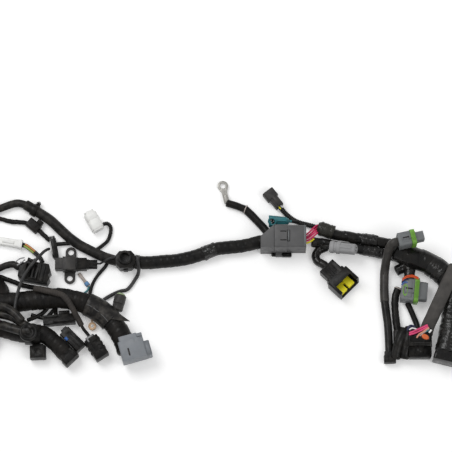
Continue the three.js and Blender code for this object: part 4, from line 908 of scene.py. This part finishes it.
def left_details():
    """Ends and locks in the left half."""
    seal = place(-0.1584, -0.0722, 0.0044, 90) @ UPRIGHT
    turned("ring_seal_cup", seal, ring_profile(0.0013, 0.0007), WHITE, "white_plastic")
    turned("ring_seal_lip", seal, ring_profile(0.0041, 0.0008), PEACH, "orange_seal")
    boot = place(-0.1676, -0.0176, 0.0029, 127)
    turned("crimp_grip", boot, [(-0.0058, 0.002), (-0.0058, 0.0028), (-0.001, 0.0028), (-0.001, 0.002)],
           PALE_BLUE, "blue_sleeve")
    plug = place(-0.1614, -0.0864, 0.009, -57)
    block("lower_connector_plate", plug, (0.001, -0.0052, 0.0078), (0.0068, 0.0036, 0.0092),
          LIGHT_GREY, "light_grey_plastic")
    long_plug = place(-0.1924, -0.0764, 0.007, -45)
    block("long_connector_lock", long_plug, (0.0104, -0.0082, 0.006), (0.0148, -0.005, 0.0082),
          BLUE, "blue_sleeve")
    tee = place(-0.2076, 0.0344, 0.005, -79)
    # A thin white strip along one top edge of the black clip: a painted highlight.
    block("tee_clip_highlight", tee, (0.003, -0.0034, 0.0046), (0.0205, -0.0028, 0.0052),
          WHITE, "white_plastic", SHARP)
    block("tee_clip_tip", tee, (-0.0034, -0.0032, 0.001), (-0.0012, 0.0032, 0.0034),
          LIGHT_GREY, "white_plastic")
    tree = place(-0.2295, 0.07, 0.0061, 60)
    turned("tree_clip_tip", tree, [(0.0104, 0.0003), (0.0104, 0.0026), (0.0122, 0.0014), (0.0122, 0.0003)],
           LIGHT_GREY, "light_grey_plastic")
    boss = place(-0.2318, -0.0856, 0.0268, 0) @ UPRIGHT
    cap = [(0, 0.00002), (0, 0.0106), (0.0018, 0.0113), (0.0044, 0.0108), (0.0052, 0.0096), (0.0046, 0.0072),
           (0.003, 0.0064), (0.003, 0.003), (0.0048, 0.0022), (0.005, 0.00002)]
    turned("clip_cap", boss, cap, BLACK, "black_plastic", 40)
    for i, (bend, back, forth) in enumerate((((-0.2446, 0.0056), (-0.2496, 0.0022), (-0.2394, 0.0072)),
                                             ((-0.2424, 0.0012), (-0.2476, -0.002), (-0.2386, 0.0046)))):
        wire(f"pale_clip_{i}", [(*back, 0.0212), (*bend, 0.0222), (*forth, 0.0214)],
             0.0008, LIGHT_GREY, "light_grey_plastic")
    hose = [(-0.28, -0.0525, 0.0272), (-0.27, -0.053, 0.0272), (-0.259, -0.0556, 0.0272),
            (-0.248, -0.063, 0.0282), (-0.2405, -0.0712, 0.0296)]
    wire("upper_hose", hose, 0.0048, HOSE_BLACK, "dark_grey_plastic", 28)
    grey = place(-0.1144, -0.088, 0.018, -74)
    block("grey_wing", grey, (0.0125, 0.014, -0.0105), (0.03, 0.0208, 0.0106),
          BLUE_GREY, "blue_grey_plastic", 0.0006)
    # The slit is a dark grey block on the blue-grey body: painted shade of the slit.
    block("grey_slit_shade", grey, (0.016, -0.006, 0.0092), (0.025, -0.0042, 0.0112),
          DARK_GREY, "dark_grey_plastic", SHARP)
    # Three short grey wires along the split sleeve's lower edge: a painted highlight.
    for i, (start, middle, end) in enumerate((((89.2, 303.4), (91.8, 304), (94.6, 305.8)),
                                              ((95.8, 306.3), (99, 308.8), (101.6, 310.4)),
                                              ((103.2, 312.2), (106.4, 315.2), (110.2, 319.6)))):
        wire(f"split_edge_highlight_{i}", [spot(*start, 0.0257), spot(*middle, 0.0262), spot(*end, 0.0259)],
             0.0005, HOUSING_GREY, "mid_grey_plastic")
    socket = place(-0.1282, -0.049, 0.0074, 76)
    skirt = [(-0.005, 0.0002), (-0.005, 0.0062), (-0.004, 0.0068), (0.0028, 0.0068), (0.0028, 0.0002)]
    turned("round_plug_skirt", socket, skirt, DARK_GREY, "black_plastic", 40)
    left_strap = [(-0.2124, -0.0508, 0.0044), (-0.2176, -0.0568, 0.0052), (-0.2256, -0.0622, 0.0076),
                  (-0.2336, -0.0668, 0.0128)]
    wire("trunk_strap_left", left_strap, 0.0026, BLACK, "black_plastic")
    right_strap = [(-0.2022, -0.0482, 0.0042), (-0.202, -0.0546, 0.0046), (-0.2014, -0.06, 0.0066)]
    wire("trunk_strap_right", right_strap, 0.0024, BLACK, "black_plastic")


def beside(route, offset):
    """The route moved sideways over the floor by an offset."""
    last = len(route) - 1
    moved = []
    for i, (x, y, z) in enumerate(route):
        before = route[max(i - 1, 0)]
        after = route[min(i + 1, last)]
        east, north = after[0] - before[0], after[1] - before[1]
        run = math.hypot(east, north)
        moved.append((x - offset * north / run, y + offset * east / run, z))
    return moved


def coloured_leads():
    """Bare leads behind the white flat plug, and at the small and the large connector."""
    strands = [(-0.0037, 0), (-0.0013, 0.0007), (0.0011, -0.0004), (0.0035, 0.0005)]
    for i, (offset, lift) in enumerate(strands):
        route = [(x, y, z + lift) for x, y, z in beside(RED_ROUTE, offset)]
        piece = wire(f"red_strand_{i}", route, 0.00108, RED, "red_wire")
        if i == 0:
            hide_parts("red_wires")
    for name, side, material, slot in (("lime_lead", -1.3, LIME, "green_plastic"),
                                       ("amber_lead", 1.3, AMBER, "orange_seal")):
        route = [(x + side * 0.0006, y + side * 0.0008, z + 0.0007) for x, y, z in FLAT_LEAD_ROUTE[1:4]]
        wire(name, route, 0.0012, material, slot)
    wire("crimp_lead", TEAL_ROUTE[1:], 0.0011 + OVER, TEAL, "teal_plastic")
    wire("teal_tail_skin", TEAL_TAIL_ROUTE[1:], 0.0018 + OVER, CABLE_BLACK, "black_plastic")
    for name, side, material, slot in (("small_yellow_lead", -1.3, YELLOW, "yellow_plastic"),
                                       ("small_white_lead", 1.3, WHITE, "white_plastic")):
        route = [(x + side * 0.0008, y + side * 0.0007, z + 0.0024) for x, y, z in SMALL_CABLE_ROUTE[:2]]
        wire(name, route, 0.0009, material, slot)
    route = [(x, y, z - 0.0006) for x, y, z in beside(RED_ROUTE[:3], -0.0062)]
    wire("yellow_lead", route, 0.0011, YELLOW, "yellow_plastic")


def middle_details():
    """Rims and slots round the large connector, the stub and the ring terminal's sleeve."""
    turned("ring_sleeve_end", place(0.0235, 0.0717, 0.0057, -22), ring_profile(0.005, 0.0006),
           BEIGE, "white_plastic")
    turned("stub_rim", place(0.2036, -0.0048, 0.0062, 200), ring_profile(0.0052, 0.001),
           CABLE_GREY, "black_plastic")
    mouth = place(*spot(272, 221.4, 0.0152), 250, 52)
    turned("teal_face", mouth, ring_profile(0.0043, 0.0011), TEAL, "teal_plastic")
    # The bore is a black disc inside the teal rim: painted shade in the connector's mouth.
    turned("teal_bore_shade", mouth, [(-0.0006, 0.00002), (-0.0006, 0.0041), (0.0001, 0.0041), (0.0001, 0.00002)],
           CABLE_BLACK, "black_plastic")
    for i, (y, z) in enumerate(((-0.0017, 0.0011), (0.0017, 0.0011), (0, -0.0018))):
        turned(f"teal_pin_{i}", mouth @ Matrix.Translation((0, y, z)), dome_profile(0.0007, 0.0012),
               LIGHT_GREY, "light_grey_plastic", 10)
    nose = place(0.1234, 0.0216, 0.0184, -9, 7) @ Matrix.Translation((0.0298, 0, 0.0024))
    nose = nose @ Matrix.Rotation(math.radians(-42), 4, "Y")
    face = [(-0.002, 0.00002), (-0.002, 0.0056), (0.0008, 0.0058), (0.0014, 0.0052), (0.0014, 0.00002)]
    turned("light_face", nose, face, LIGHT_GREY, "light_grey_plastic", 24, (1, 1, 0.82))
    # The holes are dark grey domes on the light grey face: painted shade of the holes.
    for i, (y, z) in enumerate(((-0.0019, -0.0016), (0.0019, -0.0016), (-0.0019, 0.0016), (0.0019, 0.0016))):
        turned(f"light_hole_shade_{i}", nose @ Matrix.Translation((0.0013, y, z)), dome_profile(0.0008, 0.0003),
               DARK_GREY, "dark_grey_plastic", 12)
    big = place(0.0572, 0.0315, 0, 0)
    block("housing_front_band", big, (0.0352, -0.0128, 0.0312), (0.0378, 0.0128, 0.0324),
          MID_GREY, "mid_grey_plastic")
    block("housing_lock_bar", big, (0.0164, -0.0062, 0.0322), (0.0178, 0.0062, 0.0334),
          MID_GREY, "mid_grey_plastic")
    # The slots and the well are black marks on the grey housing: painted shade of their recesses.
    for i, y in enumerate((-0.0054, 0.0054)):
        groove(f"housing_slot_shade_{i}", big, (0.0072, y - 0.0006, 0.0312), (0.0146, y + 0.0006, 0.0326))
    groove("housing_well_shade", big, (0.0152, -0.007, 0.0305), (0.0164, 0.007, 0.0326))
    block("under_clip_left", big, (-0.003, -0.0176, 0.0002), (0.0086, -0.0144, 0.0066),
          BLACK, "black_plastic", 0.0008)
    block("under_clip_right", big, (0.0094, -0.0186, 0.0002), (0.0212, -0.0144, 0.0086),
          BLACK, "black_plastic", 0.0008)


tape_patches()
corner_details()
plug_details()
left_details()
coloured_leads()
middle_details()


# Floor and light
BACKGROUND_LIFT = 0.24               # brings the pale floor to white for the camera
FLOOR_SPAN = 6.0
WORLD_STRENGTH = 0.47
LIGHTS = [                           # name, place, size, watts
    ("key", (-1.1, 0.9, 2.1), 1.5, 25),
    ("fill", (1.2, -0.7, 1.8), 0.9, 8),
]


def add_floor():
    mesh = bpy.data.meshes.new("floor")
    grid = bmesh.new()
    bmesh.ops.create_grid(grid, x_segments=1, y_segments=1, size=FLOOR_SPAN)
    grid.to_mesh(mesh)
    grid.free()
    floor = bpy.data.objects.new("floor", mesh)
    bpy.context.collection.objects.link(floor)
    n = Nodes("floor_paint")
    n.link(n.ramp(n.noise(3, 2), [(0.3, (0.94, 0.94, 0.94)), (0.7, (0.96, 0.96, 0.96))]),
           n.shader.inputs["Base Color"])
    n.shader.inputs["Roughness"].default_value = 0.9
    n.shader.inputs["Specular IOR Level"].default_value = 0.1
    n.shader.inputs["Emission Color"].default_value = (1, 1, 1, 1)
    rays = n.tree.nodes.new("ShaderNodeLightPath")
    seen = n.maths("MAXIMUM", rays.outputs["Is Camera Ray"], rays.outputs["Is Transmission Ray"])
    seen = n.maths("MAXIMUM", seen, rays.outputs["Is Glossy Ray"])
    n.link(n.maths("MULTIPLY", seen, BACKGROUND_LIFT), n.shader.inputs["Emission Strength"])
    mesh.materials.append(n.material)


def add_light(name, place, size, power):
    data = bpy.data.lights.new(name, "AREA")
    data.shape = "DISK"
    data.size = size
    data.energy = power
    light = bpy.data.objects.new(name, data)
    light.location = Vector(place)
    light.rotation_euler = (-light.location).to_track_quat("-Z", "Y").to_euler()
    bpy.context.collection.objects.link(light)


def set_world():
    world = bpy.data.worlds.new("studio")
    bpy.context.scene.world = world
    world.use_nodes = True
    tree = world.node_tree
    background = tree.nodes["Background"]
    background.inputs["Color"].default_value = (1, 1, 1, 1)
    background.inputs["Strength"].default_value = WORLD_STRENGTH


add_floor()
for light in LIGHTS:
    add_light(*light)
set_world()
bpy.context.scene.view_settings.view_transform = "Standard"
